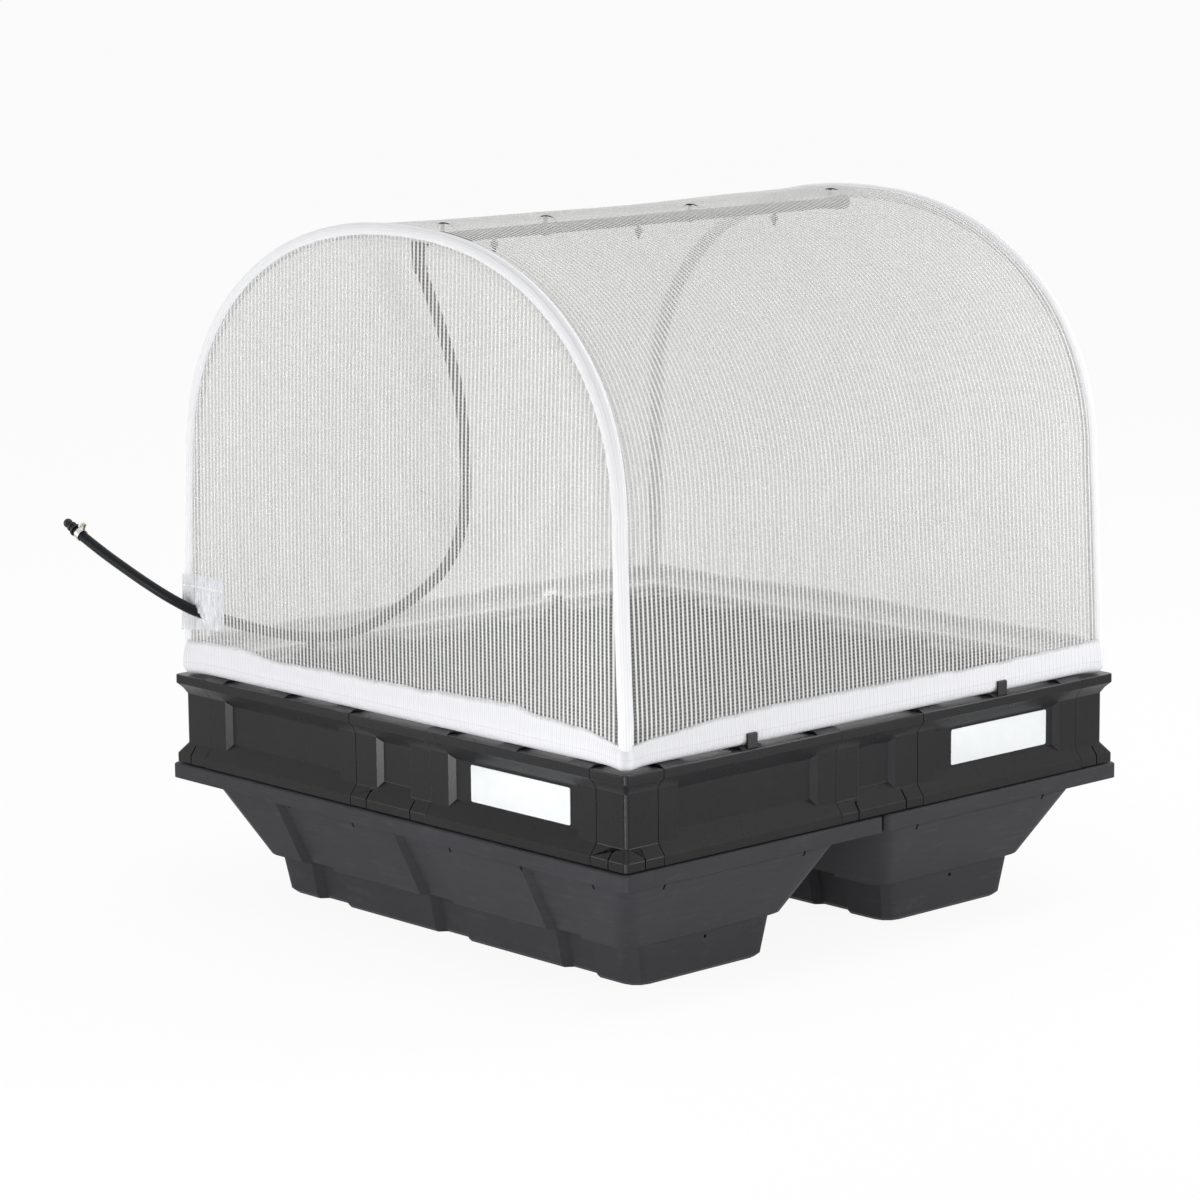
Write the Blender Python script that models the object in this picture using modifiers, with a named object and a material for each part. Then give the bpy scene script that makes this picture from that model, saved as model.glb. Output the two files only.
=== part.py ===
"""Covered raised bed.

Two self-watering troughs stand side by side. A wall of clip-together panels stands on their rims, and a
net tunnel on two hoops covers it. The tunnel turns on its left bottom rail and snaps shut on the right.

Metres, +Z up. The origin is on the floor under the middle of the bed. The latches face +X and the hose -Y.
"""
import math

import bmesh
import bpy
from mathutils import Matrix, Vector

# Clearance between pieces that touch, and the visible joint between two wall pieces
FIT = 0.0003
JOINT = 0.0008

# Bed plan, outside the trough rims
BED_LENGTH = 1.000
BED_DEPTH = 1.000

# Trough heights and the inset of each level from the rim edge, on the soil side of the moulding
TROUGH_WALL = 0.003
RIM_TOP = 0.1986
RIM_SKIRT = 0.0216
RIM_WIDTH = 0.049
RIM_ROUND = 0.0015
RIM_CORNER = 0.012
SLOPE_TOP = 0.160
SLOPE_RUN_X = 0.055
SLOPE_RUN_Y = 0.0475
LEDGE_TOP = 0.064
LEDGE_DROP = 0.003
LEDGE_WIDTH_X = 0.006
LEDGE_WIDTH_Y = 0.017
RESERVOIR_DRAFT_X = 0.005
RESERVOIR_DRAFT_Y = 0.011
FLOOR_ROUND = 0.004
TROUGH_CORNER = 0.024
CORNER_STEPS = 3

# Upright flutes in the long sides of a trough
FLUTE_FROM_END = 0.228
FLUTE_MOUTH = 0.076
FLUTE_FLOOR = 0.058
FLUTE_DEPTH = 0.012
FLUTE_TOP_DEPTH = 0.009

# Small slots high in the trough walls and the overflow hole low in each end
SLOT_WIDTH = 0.004
SLOT_HEIGHT = 0.010
SLOT_DROP = 0.0406
SLOTS_FROM_LEFT_END = (0.210, 0.370)
SLOTS_FROM_RIGHT_END = (0.116, 0.264, 0.415)
END_SLOT_SPACING = 0.270
OVERFLOW_HEIGHT = 0.052
OVERFLOW_RADIUS = 0.003

# Perforated tray on the ledge, with two wells that dip into the water
TRAY_THICKNESS = 0.003
TRAY_MARGIN = 0.001
WELL_SPACING = 0.400
WELL_TOP = 0.110
WELL_BOTTOM = 0.080
WELL_WALL = 0.0025
WELL_SLIT_WIDTH = 0.004
WELL_SLIT_HEIGHT = 0.020
TRAY_HOLE_RADIUS = 0.006
TRAY_HOLE_PITCH_X = 0.068
TRAY_HOLE_PITCH_Y = 0.080
TRAY_HOLE_MARGIN = 0.024

# Wall profile. Depths are measured inwards from the rim edge of the trough below
PANEL_WALL = 0.003
FLANGE_DEPTH = 0.0056
LEDGE_INNER_DEPTH = 0.060
WALL_DEPTH = 0.0174
LIP_DEPTH = 0.0055
LEDGE_Z = 0.334
FLANGE_HEIGHT = 0.013
COVE_MID_DEPTH = 0.0125
COVE_MID_Z = 0.3135
COVE_Z = 0.305
SKIRT_TOP_Z = 0.230
LIP_TOP_Z = 0.214
LIP_GAP = 0.0022
INNER_LIP = 0.012
EDGE_ROUND = 0.001
OUTER_CORNER = 0.007
INNER_CORNER = 0.003

# Lengths along the wall
CORNER_LEG = 0.0586
JOINER_LENGTH = 0.1654
RECESS_DEPTH = 0.008
RECESS_SLANT = 0.008
RECESS_RISE = 1.33
RECESS_FALL = 0.9
LONG_RECESS_MARGIN = 0.036
JOINER_RECESS_MARGIN = 0.045

# Raised blocks on the ledge of a long panel: one at each end and one in the middle
BLOCK_HEIGHT = 0.004
END_BLOCK = 0.045
MID_BLOCK = 0.040
BLOCK_CHAMFER = 0.010

# Slits that free a foot at each joint of the skirt
SLIT_WIDTH = 0.0022
SLIT_FROM_JOINT = 0.0345

# Pockets and slots for the clips, in the middle blocks of the left and right sides
CLIP_WIDTH = 0.019
CLIP_PLATE = 0.0024
CLIP_ARM = 0.003
POCKET_DEPTH = 0.003
TONGUE_OFFSET = 0.022
TONGUE_THICKNESS = 0.004
TONGUE_DROP = 0.016
TONGUE_HOOK = 0.0012
CRADLE_CLEARANCE = 0.0006
LATCH_RISE = 0.0057
HINGE_RING_WALL = 0.0024
HINGE_MOUTH_DEG = 40.0

# Cover frame: rails, corner fittings and hoops
RAIL_INSET = 0.0255
RAIL_RADIUS = 0.0075
FITTING_WALL = 0.0012
FITTING_REACH = 0.028
FITTING_RISE = 0.020
FITTING_SIDES = 10
FITTING_BALL = 0.97
HOOP_STRAIGHT = 0.044
SPRING_Z = 0.653
SPRING_INSET = 0.037
ARCH_RISE = 0.370
ARCH_POWER = 2.22
ARCH_STEPS = 20
HOOP_LEAN = 0.0144

# Fabric: hem, edge sleeves and nets
HEM_RADIUS = 0.0125
HEM_HEIGHT = 0.0292
HEM_SHOULDER = 0.0210
HEM_STEPS = 6
HEM_INNER_RISE = 0.002
HEM_NOTCH_WIDTH = 0.030
HEM_NOTCH_HEIGHT = 0.0175
SLEEVE_RADIUS = 0.0125
NET_THICKNESS = 0.0014
NET_OFFSET = 0.0085
NET_SAG = 0.006
NET_COLUMNS = 4

# Clear patch for the hose on the front net
PATCH_THICKNESS = 0.001
PATCH_WIDTH = 0.088
PATCH_HEIGHT = 0.104
PATCH_OVER_RAIL = 0.0412
PATCH_ROWS = 4
PATCH_WRAP_DEG = 185.0
PATCH_WRAP_STEPS = 6

# Mist line under the ridge
PIPE_RADIUS = 0.0080
PIPE_DROP = 0.0235
PIPE_FRONT_INSET = 0.095
PIPE_BACK_INSET = 0.070
NOZZLE_SPACING = 0.280
NOZZLE_COUNT = 3
TIES_FROM_FRONT = (0.030, 0.223)
TIES_FROM_BACK = (0.326, 0.030)
TIE_WIDTH = 0.005
TIE_THICKNESS = 0.0015
TIE_STEM = 0.004
PLUG_LENGTH = 0.016
PLUG_WALL = 0.0025

# Hose and what is on it
HOSE_RADIUS = 0.0078
ELBOW_RADIUS = 0.0105
ELBOW_STRAIGHT = 0.007
HOSE_SLIT_CLEARANCE = 0.0015
CLAMP_WIDTH = 0.009
CLAMP_THICKNESS = 0.0012
CONNECTOR_LENGTH = 0.030

# Route of the hose. At the ridge: across from the middle, in from the front rim edge, down from the crown
HOSE_FROM_RIDGE = (
    (0.024, 0.0640, 0.055),
    (0.047, 0.0625, 0.093),
    (0.074, 0.0600, 0.140),
    (0.098, 0.0580, 0.190),
    (0.114, 0.0570, 0.245),
    (0.120, 0.0570, 0.305),
)
# At the left corner: across from the left rim edge, in from the front rim edge, up from the rail axis
HOSE_FROM_CORNER = (
    (0.618, 0.0570, 0.300),
    (0.603, 0.0570, 0.250),
    (0.570, 0.0570, 0.204),
    (0.520, 0.0570, 0.166),
    (0.462, 0.0570, 0.132),
    (0.400, 0.0570, 0.101),
    (0.335, 0.0570, 0.079),
    (0.262, 0.0565, 0.067),
    (0.190, 0.0540, 0.064),
    (0.130, 0.0470, 0.0670),
    (0.085, 0.0320, 0.0745),
    (0.052, 0.0120, 0.0840),
    (0.018, -0.0060, 0.1005),
    (-0.025, -0.0150, 0.1175),
    (-0.072, -0.0180, 0.1337),
    (-0.122, -0.0210, 0.152),
    (-0.168, -0.0240, 0.171),
    (-0.190, -0.0250, 0.181),
)
HOSE_SPACING = 0.024

# Values worked out from the sizes above
HALF_X = BED_LENGTH / 2
HALF_Y = BED_DEPTH / 2
FLUTE_PITCH = HALF_X - FLUTE_FROM_END
BLOCK_Z = LEDGE_Z + BLOCK_HEIGHT
RAIL_Z = BLOCK_Z + FIT + HEM_RADIUS
RAIL_X = HALF_X - RAIL_INSET
RAIL_Y = HALF_Y - RAIL_INSET
CROWN_Z = SPRING_Z + ARCH_RISE
HEM_TOP_Z = RAIL_Z + HEM_HEIGHT
PATCH_BOTTOM = RAIL_Z + PATCH_OVER_RAIL
TRAY_Z = LEDGE_TOP + FIT
FOOT_Z = RIM_TOP + FIT
PIPE_Z = CROWN_Z + NET_OFFSET - PIPE_DROP


def clear_round(radius, sides):
    """Corner radius of a polygon whose flats clear a circle of the given radius."""
    return radius / math.cos(math.pi / sides)


HEM_INNER = clear_round(clear_round(RAIL_RADIUS + FIT, FITTING_SIDES) + FITTING_WALL + FIT, 2 * HEM_STEPS)

# Materials: colour, roughness, metallic
MATERIALS = {
    "panel_plastic": ((0.045, 0.045, 0.048, 1.0), 0.55, 0.0),
    "trough_plastic": ((0.058, 0.058, 0.062, 1.0), 0.50, 0.0),
    "tray_plastic": ((0.030, 0.030, 0.032, 1.0), 0.60, 0.0),
    "clip_plastic": ((0.012, 0.012, 0.013, 1.0), 0.45, 0.0),
    "frame_plastic": ((0.70, 0.70, 0.70, 1.0), 0.45, 0.0),
    "net_fabric": ((0.72, 0.72, 0.71, 1.0), 0.90, 0.0),
    "hem_fabric": ((0.88, 0.88, 0.90, 1.0), 0.90, 0.0),
    "clear_vinyl": ((0.80, 0.84, 0.86, 1.0), 0.20, 0.0),
    "hose_rubber": ((0.015, 0.015, 0.018, 1.0), 0.45, 0.0),
    "clamp_steel": ((0.55, 0.55, 0.56, 1.0), 0.30, 1.0),
}


def clear_scene():
    for obj in list(bpy.data.objects):
        bpy.data.objects.remove(obj, do_unlink=True)


def make_collection(name):
    collection = bpy.data.collections.new(name)
    bpy.context.scene.collection.children.link(collection)
    return collection


def make_material(name):
    colour, roughness, metallic = MATERIALS[name]
    material = bpy.data.materials.new(name)
    material.use_nodes = True
    shader = material.node_tree.nodes["Principled BSDF"]
    shader.inputs["Base Color"].default_value = colour
    shader.inputs["Roughness"].default_value = roughness
    shader.inputs["Metallic"].default_value = metallic
    return material


clear_scene()
PARTS = make_collection("covered_raised_bed")
CUTTERS = make_collection("cutters")
FINISH = {key: make_material(key) for key in MATERIALS}

# The cover's pieces hang on this empty, which lies on the hinge axis
HINGE = bpy.data.objects.new("cover_hinge_axis", None)
HINGE.location = (-RAIL_X, 0.0, RAIL_Z)
PARTS.objects.link(HINGE)


def mesh_from(bm, name):
    """Close a bmesh into mesh data with welded corners and outward faces."""
    bmesh.ops.remove_doubles(bm, verts=bm.verts, dist=1e-6)
    bmesh.ops.recalc_face_normals(bm, faces=bm.faces)
    mesh = bpy.data.meshes.new(name)
    bm.to_mesh(mesh)
    bm.free()
    return mesh


def add_part(name, mesh, finish, on_cover=False, smooth=False):
    """Put a mesh in the model as one named piece."""
    obj = bpy.data.objects.new(name, mesh)
    PARTS.objects.link(obj)
    mesh.materials.clear()
    mesh.materials.append(FINISH[finish])
    if smooth:
        mesh.shade_smooth()
        mesh.set_sharp_from_angle(angle=math.radians(35.0))
    if on_cover:
        obj.parent = HINGE
        obj.matrix_parent_inverse = Matrix.Translation(HINGE.location).inverted()
    return obj


def combine(obj, mesh, operation):
    """Join or cut a piece with a tool mesh through a Boolean modifier."""
    tool = bpy.data.objects.new(obj.name + "_" + operation.lower(), mesh)
    CUTTERS.objects.link(tool)
    tool.hide_render = True
    tool.display_type = "WIRE"
    modifier = obj.modifiers.new(operation.title(), "BOOLEAN")
    modifier.operation = operation
    modifier.solver = "EXACT"
    modifier.object = tool
    return modifier


def skin(rows, close_rows=True, cap_start=True, cap_end=True):
    """Loft through rows of points that all have the same count."""
    bm = bmesh.new()
    grid = [[bm.verts.new(point) for point in row] for row in rows]
    count = len(grid[0])
    steps = count if close_rows else count - 1
    for low, high in zip(grid, grid[1:]):
        for i in range(steps):
            j = (i + 1) % count
            bm.faces.new((low[i], low[j], high[j], high[i]))
    if cap_start:
        bm.faces.new(grid[0])
    if cap_end:
        bm.faces.new(grid[-1])
    return bm


def boxes(extents, name):
    """One mesh of separate boxes, each given by its low and high corner."""
    bm = bmesh.new()
    for low, high in extents:
        centre = (Vector(low) + Vector(high)) / 2
        size = Vector(high) - Vector(low)
        matrix = Matrix.Translation(centre) @ Matrix.Diagonal((*size, 1.0))
        bmesh.ops.create_cube(bm, size=1.0, matrix=matrix)
    return mesh_from(bm, name)


def add_cylinder(bm, start, end, radius, sides, end_radius=None):
    """Add a capped cylinder or cone between two points."""
    start = Vector(start)
    axis = Vector(end) - start
    turn = axis.to_track_quat("Z", "Y").to_matrix().to_4x4()
    matrix = Matrix.Translation(start + axis / 2) @ turn
    top = radius if end_radius is None else end_radius
    bmesh.ops.create_cone(
        bm, cap_ends=True, segments=sides, radius1=radius, radius2=top, depth=axis.length, matrix=matrix)


def cylinder_mesh(name, start, end, radius, sides, end_radius=None):
    bm = bmesh.new()
    add_cylinder(bm, start, end, radius, sides, end_radius)
    return mesh_from(bm, name)


def extrude_outline(outline, start, end, to_world):
    """Prism of a flat outline between two stations along the third axis."""
    rows = [[to_world(u, v, station) for u, v in outline] for station in (start, end)]
    return skin(rows)


def tube(name, points, radius, resolution=2):
    """Closed tube mesh along a polyline, from a bevelled curve."""
    curve = bpy.data.curves.new(name, "CURVE")
    curve.dimensions = "3D"
    curve.bevel_depth = radius
    curve.bevel_resolution = resolution
    curve.use_fill_caps = True
    spline = curve.splines.new("POLY")
    spline.points.add(len(points) - 1)
    for target, point in zip(spline.points, points):
        target.co = (*point, 1.0)
    guide = bpy.data.objects.new(name + "_guide", curve)
    CUTTERS.objects.link(guide)
    evaluated = guide.evaluated_get(bpy.context.evaluated_depsgraph_get())
    mesh = bpy.data.meshes.new_from_object(evaluated)
    bpy.data.objects.remove(guide, do_unlink=True)
    bm = bmesh.new()
    bm.from_mesh(mesh)
    bpy.data.meshes.remove(mesh)
    return mesh_from(bm, name)


def rounded_plan(half_x, half_y, radius, flute):
    """Plan outline of a trough level: rounded rectangle with flutes in its long sides."""
    half_mouth = FLUTE_MOUTH / 2
    half_floor = FLUTE_FLOOR / 2
    side = []
    for centre in (FLUTE_PITCH, 0.0, -FLUTE_PITCH):
        side.append((centre + half_mouth, half_y))
        side.append((centre + half_floor, half_y - flute))
        side.append((centre - half_floor, half_y - flute))
        side.append((centre - half_mouth, half_y))
    quarter = []
    for step in range(CORNER_STEPS + 1):
        angle = math.pi / 2 * step / CORNER_STEPS
        quarter.append((half_x - radius + radius * math.cos(angle), half_y - radius + radius * math.sin(angle)))
    top = quarter + side + [(-x, y) for x, y in reversed(quarter)]
    return top + [(-x, -y) for x, y in top]


def trough_levels():
    """Height, inset along X, inset along Y, corner radius and flute depth, from the floor up and out."""
    ledge_x = RIM_WIDTH + SLOPE_RUN_X
    ledge_y = RIM_WIDTH + SLOPE_RUN_Y
    tank_x = ledge_x + LEDGE_WIDTH_X
    tank_y = ledge_y + LEDGE_WIDTH_Y
    floor_x = tank_x + RESERVOIR_DRAFT_X
    floor_y = tank_y + RESERVOIR_DRAFT_Y
    skirt_z = RIM_TOP - RIM_SKIRT
    return (
        (TROUGH_WALL, floor_x + FLOOR_ROUND, floor_y + FLOOR_ROUND, TROUGH_CORNER, FLUTE_DEPTH),
        (TROUGH_WALL + FLOOR_ROUND, floor_x, floor_y, TROUGH_CORNER, FLUTE_DEPTH),
        (LEDGE_TOP - LEDGE_DROP, tank_x, tank_y, TROUGH_CORNER, FLUTE_DEPTH),
        (LEDGE_TOP, ledge_x, ledge_y, TROUGH_CORNER, FLUTE_DEPTH),
        (SLOPE_TOP, RIM_WIDTH, RIM_WIDTH, TROUGH_CORNER, FLUTE_TOP_DEPTH),
        (skirt_z, RIM_WIDTH, RIM_WIDTH, TROUGH_CORNER, FLUTE_TOP_DEPTH),
        (RIM_TOP, RIM_WIDTH, RIM_WIDTH, TROUGH_CORNER, 0.0),
        (RIM_TOP, RIM_ROUND, RIM_ROUND, RIM_CORNER, 0.0),
        (RIM_TOP - RIM_ROUND, 0.0, 0.0, RIM_CORNER, 0.0),
        (skirt_z, 0.0, 0.0, RIM_CORNER, 0.0),
    )


def build_trough(name, side):
    """A trough is one moulded skin: reservoir, ledge, fluted wall, rim and skirt."""
    half_x = HALF_X
    half_y = HALF_Y / 2 - JOINT / 4
    centre_y = side * (HALF_Y / 2 + JOINT / 4)
    rows = []
    for z, inset_x, inset_y, radius, flute in trough_levels():
        plan = rounded_plan(half_x - inset_x, half_y - inset_y, radius, flute)
        rows.append([(x, y + centre_y, z) for x, y in plan])
    trough = add_part(name, mesh_from(skin(rows, cap_end=False), name), "trough_plastic", smooth=True)
    shell = trough.modifiers.new("Moulding", "SOLIDIFY")
    shell.thickness = TROUGH_WALL
    shell.use_even_offset = True
    shell.offset = 1.0 if faces_outwards(trough.data) else -1.0

    slot_z = RIM_TOP - SLOT_DROP
    slots = []
    reach = half_y - RIM_WIDTH + 2 * TROUGH_WALL
    places = [step - half_x for step in SLOTS_FROM_LEFT_END] + [half_x - step for step in SLOTS_FROM_RIGHT_END]
    for place in places:
        low = (place - SLOT_WIDTH / 2, centre_y - reach, slot_z - SLOT_HEIGHT / 2)
        high = (place + SLOT_WIDTH / 2, centre_y + reach, slot_z + SLOT_HEIGHT / 2)
        slots.append((low, high))
    reach = half_x - RIM_WIDTH + 2 * TROUGH_WALL
    for sign in (-1, 1):
        middle = centre_y + sign * END_SLOT_SPACING / 2
        low = (-reach, middle - SLOT_WIDTH / 2, slot_z - SLOT_HEIGHT / 2)
        high = (reach, middle + SLOT_WIDTH / 2, slot_z + SLOT_HEIGHT / 2)
        slots.append((low, high))
    combine(trough, boxes(slots, name + "_slots"), "DIFFERENCE")
    start = (-half_x, centre_y, OVERFLOW_HEIGHT)
    end = (half_x, centre_y, OVERFLOW_HEIGHT)
    combine(trough, cylinder_mesh(name + "_overflow", start, end, OVERFLOW_RADIUS, 8), "DIFFERENCE")


def faces_outwards(mesh):
    """Tell whether the bottom face of an open trough skin looks down."""
    lowest = min(mesh.polygons, key=lambda face: face.center.z)
    return lowest.normal.z < 0.0


def add_frustum(bm, centre_x, centre_y, low, high):
    """Square cup body: each end is (height, width)."""
    rows = []
    for z, width in (low, high):
        half = width / 2
        corners = ((half, half), (-half, half), (-half, -half), (half, -half))
        rows.append([bm.verts.new((centre_x + x, centre_y + y, z)) for x, y in corners])
    for i in range(4):
        j = (i + 1) % 4
        bm.faces.new((rows[0][i], rows[0][j], rows[1][j], rows[1][i]))
    bm.faces.new(rows[0])
    bm.faces.new(rows[1])


def build_tray(name, side):
    """Perforated false floor with two wells, lying on the trough's ledge."""
    centre_y = side * (HALF_Y / 2 + JOINT / 4)
    half_x = HALF_X - RIM_WIDTH - SLOPE_RUN_X - TRAY_MARGIN
    half_y = HALF_Y / 2 - JOINT / 4 - RIM_WIDTH - SLOPE_RUN_Y - TRAY_MARGIN
    plan = rounded_plan(half_x, half_y, TROUGH_CORNER, FLUTE_DEPTH)
    top_z = TRAY_Z + TRAY_THICKNESS
    rows = [[(x, y + centre_y, z) for x, y in plan] for z in (TRAY_Z, top_z)]
    tray = add_part(name, mesh_from(skin(rows), name), "tray_plastic")

    well_z = TROUGH_WALL + FIT
    outer = bmesh.new()
    inner = bmesh.new()
    holes = bmesh.new()
    slits = []
    for sign in (-1, 1):
        centre_x = sign * WELL_SPACING / 2
        middle_z = (TRAY_Z + top_z) / 2
        add_frustum(outer, centre_x, centre_y, (well_z, WELL_BOTTOM), (middle_z, WELL_TOP))
        low = (well_z + WELL_WALL, WELL_BOTTOM - 2 * WELL_WALL)
        high = (top_z + WELL_WALL, WELL_TOP - 2 * WELL_WALL)
        add_frustum(inner, centre_x, centre_y, low, high)
        half = WELL_TOP / 2
        slit_low = well_z + 2 * WELL_WALL
        slit_high = slit_low + WELL_SLIT_HEIGHT
        for along_x in (True, False):
            reach_x = half if along_x else WELL_SLIT_WIDTH / 2
            reach_y = WELL_SLIT_WIDTH / 2 if along_x else half
            low = (centre_x - reach_x, centre_y - reach_y, slit_low)
            high = (centre_x + reach_x, centre_y + reach_y, slit_high)
            slits.append((low, high))
    columns = int((half_x - TRAY_HOLE_MARGIN) / TRAY_HOLE_PITCH_X)
    rows_out = int((half_y - FLUTE_DEPTH - TRAY_HOLE_MARGIN) / TRAY_HOLE_PITCH_Y)
    for i in range(-columns, columns + 1):
        for j in range(-rows_out, rows_out + 1):
            x = i * TRAY_HOLE_PITCH_X
            y = j * TRAY_HOLE_PITCH_Y
            reach = WELL_TOP / 2 + 2 * TRAY_HOLE_RADIUS
            over_well = abs(abs(x) - WELL_SPACING / 2) < reach and abs(y) < reach
            if not over_well:
                start = (x, centre_y + y, TRAY_Z - TRAY_THICKNESS)
                add_cylinder(holes, start, (x, centre_y + y, top_z + TRAY_THICKNESS), TRAY_HOLE_RADIUS, 6)
    combine(tray, mesh_from(outer, name + "_wells"), "UNION")
    combine(tray, mesh_from(inner, name + "_well_insides"), "DIFFERENCE")
    combine(tray, boxes(slits, name + "_slits"), "DIFFERENCE")
    combine(tray, mesh_from(holes, name + "_holes"), "DIFFERENCE")


def wall_profile(recess):
    """Closed profile of the wall as (depth from the rim edge, height). recess is 0 or 1."""
    wall = WALL_DEPTH + RECESS_DEPTH * recess
    wall_top = COVE_Z - RECESS_DEPTH * RECESS_FALL * recess
    wall_bottom = SKIRT_TOP_Z + RECESS_DEPTH * RECESS_RISE * recess
    under = LEDGE_Z - PANEL_WALL
    lip_bottom = FOOT_Z + LIP_GAP
    inner_top = wall_top + PANEL_WALL / 2
    return (
        (LEDGE_INNER_DEPTH, LEDGE_Z),
        (FLANGE_DEPTH + EDGE_ROUND, LEDGE_Z),
        (FLANGE_DEPTH, LEDGE_Z - EDGE_ROUND),
        (FLANGE_DEPTH, LEDGE_Z - FLANGE_HEIGHT),
        (COVE_MID_DEPTH, COVE_MID_Z),
        (wall, wall_top),
        (wall, wall_bottom),
        (LIP_DEPTH, LIP_TOP_Z),
        (LIP_DEPTH, lip_bottom),
        (LIP_DEPTH + PANEL_WALL, lip_bottom),
        (LIP_DEPTH + PANEL_WALL, LIP_TOP_Z - PANEL_WALL / 2),
        (WALL_DEPTH, SKIRT_TOP_Z - 1.4 * PANEL_WALL),
        (WALL_DEPTH, FOOT_Z),
        (WALL_DEPTH + PANEL_WALL, FOOT_Z),
        (WALL_DEPTH + PANEL_WALL, SKIRT_TOP_Z - PANEL_WALL),
        (wall + PANEL_WALL, wall_bottom - PANEL_WALL / 2),
        (wall + PANEL_WALL, inner_top),
        (WALL_DEPTH + PANEL_WALL, under),
        (LEDGE_INNER_DEPTH - PANEL_WALL, under),
        (LEDGE_INNER_DEPTH - PANEL_WALL, LEDGE_Z - INNER_LIP),
        (LEDGE_INNER_DEPTH, LEDGE_Z - INNER_LIP),
    )


def side_frame(side):
    """Function that places (along, depth, height) on a side: 0 front, 1 right, 2 back, 3 left."""
    edge = HALF_Y if side % 2 == 0 else HALF_X
    cos_turn, sin_turn = ((1, 0), (0, 1), (-1, 0), (0, -1))[side]

    def place(along, depth, z):
        out = depth - edge
        return Vector((cos_turn * along - sin_turn * out, sin_turn * along + cos_turn * out, z))

    return place


def side_length(side):
    """Length of the wall face on a side, from corner to corner."""
    full = BED_LENGTH if side % 2 == 0 else BED_DEPTH
    return full - 2 * WALL_DEPTH


def block_outline():
    """Section of a raised block on the ledge, as (depth, height)."""
    inner = LEDGE_INNER_DEPTH - PANEL_WALL
    outer = FLANGE_DEPTH + FIT
    low = LEDGE_Z - PANEL_WALL / 2
    return (
        (inner, low),
        (inner, BLOCK_Z),
        (FLANGE_DEPTH + BLOCK_CHAMFER, BLOCK_Z),
        (outer, LEDGE_Z - EDGE_ROUND / 2),
        (outer, low),
    )


def placed_boxes(place, extents, name):
    """Boxes given in a side's own (along, depth, height), as one mesh."""
    bm = bmesh.new()
    for low, high in extents:
        rows = []
        for along in (low[0], high[0]):
            outline = ((low[1], low[2]), (high[1], low[2]), (high[1], high[2]), (low[1], high[2]))
            rows.append([bm.verts.new(place(along, depth, z)) for depth, z in outline])
        for i in range(4):
            j = (i + 1) % 4
            bm.faces.new((rows[0][i], rows[0][j], rows[1][j], rows[1][i]))
        bm.faces.new(rows[0])
        bm.faces.new(rows[1])
    return mesh_from(bm, name)


def recessed_wall(name, place, start, end, margin):
    """Panel of the wall profile whose field is set back between two slanted edges."""
    stations = (
        (start, 0),
        (start + margin, 0),
        (start + margin + RECESS_SLANT, 1),
        (end - margin - RECESS_SLANT, 1),
        (end - margin, 0),
        (end, 0),
    )
    rows = [[place(along, depth, z) for depth, z in wall_profile(recess)] for along, recess in stations]
    return add_part(name, mesh_from(skin(rows), name), "panel_plastic")


def build_long_panel(name, side, start, end, has_clip):
    place = side_frame(side)
    panel = recessed_wall(name, place, start, end, LONG_RECESS_MARGIN)
    middle = (start + end) / 2
    block_spans = (
        (start, start + END_BLOCK),
        (middle - MID_BLOCK / 2, middle + MID_BLOCK / 2),
        (end - END_BLOCK, end),
    )
    bm = bmesh.new()
    for low, high in block_spans:
        rows = [[bm.verts.new(place(along, depth, z)) for depth, z in block_outline()] for along in (low, high)]
        count = len(rows[0])
        for i in range(count):
            j = (i + 1) % count
            bm.faces.new((rows[0][i], rows[0][j], rows[1][j], rows[1][i]))
        bm.faces.new(rows[0])
        bm.faces.new(rows[1])
    combine(panel, mesh_from(bm, name + "_blocks"), "UNION")
    if has_clip:
        half = CLIP_WIDTH / 2 + FIT
        pocket_z = BLOCK_Z - POCKET_DEPTH
        tongue = RAIL_INSET + TONGUE_OFFSET
        half_tongue = TONGUE_THICKNESS / 2 + TONGUE_HOOK + FIT
        pocket = ((middle - half, 0.0, pocket_z), (middle + half, LEDGE_INNER_DEPTH + FIT, BLOCK_Z + FIT))
        wider = half + FIT
        slot = (
            (middle - wider, tongue - half_tongue, LEDGE_Z - 2 * PANEL_WALL),
            (middle + wider, tongue + half_tongue, BLOCK_Z - FIT),
        )
        combine(panel, placed_boxes(place, (pocket, ), name + "_pocket"), "DIFFERENCE")
        combine(panel, placed_boxes(place, (slot, ), name + "_slot"), "DIFFERENCE")


def slit_box(along):
    """Box that cuts the skirt and lip, but not the web behind them."""
    low = (along - SLIT_WIDTH / 2, 0.0, FOOT_Z)
    high = (along + SLIT_WIDTH / 2, WALL_DEPTH - FIT, SKIRT_TOP_Z)
    return low, high


def build_joiner(name, side):
    place = side_frame(side)
    half = JOINER_LENGTH / 2
    joiner = recessed_wall(name, place, -half, half, JOINER_RECESS_MARGIN)
    slits = [slit_box(sign * (half - SLIT_FROM_JOINT)) for sign in (-1, 1)]
    combine(joiner, placed_boxes(place, slits, name + "_slits"), "DIFFERENCE")


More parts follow.
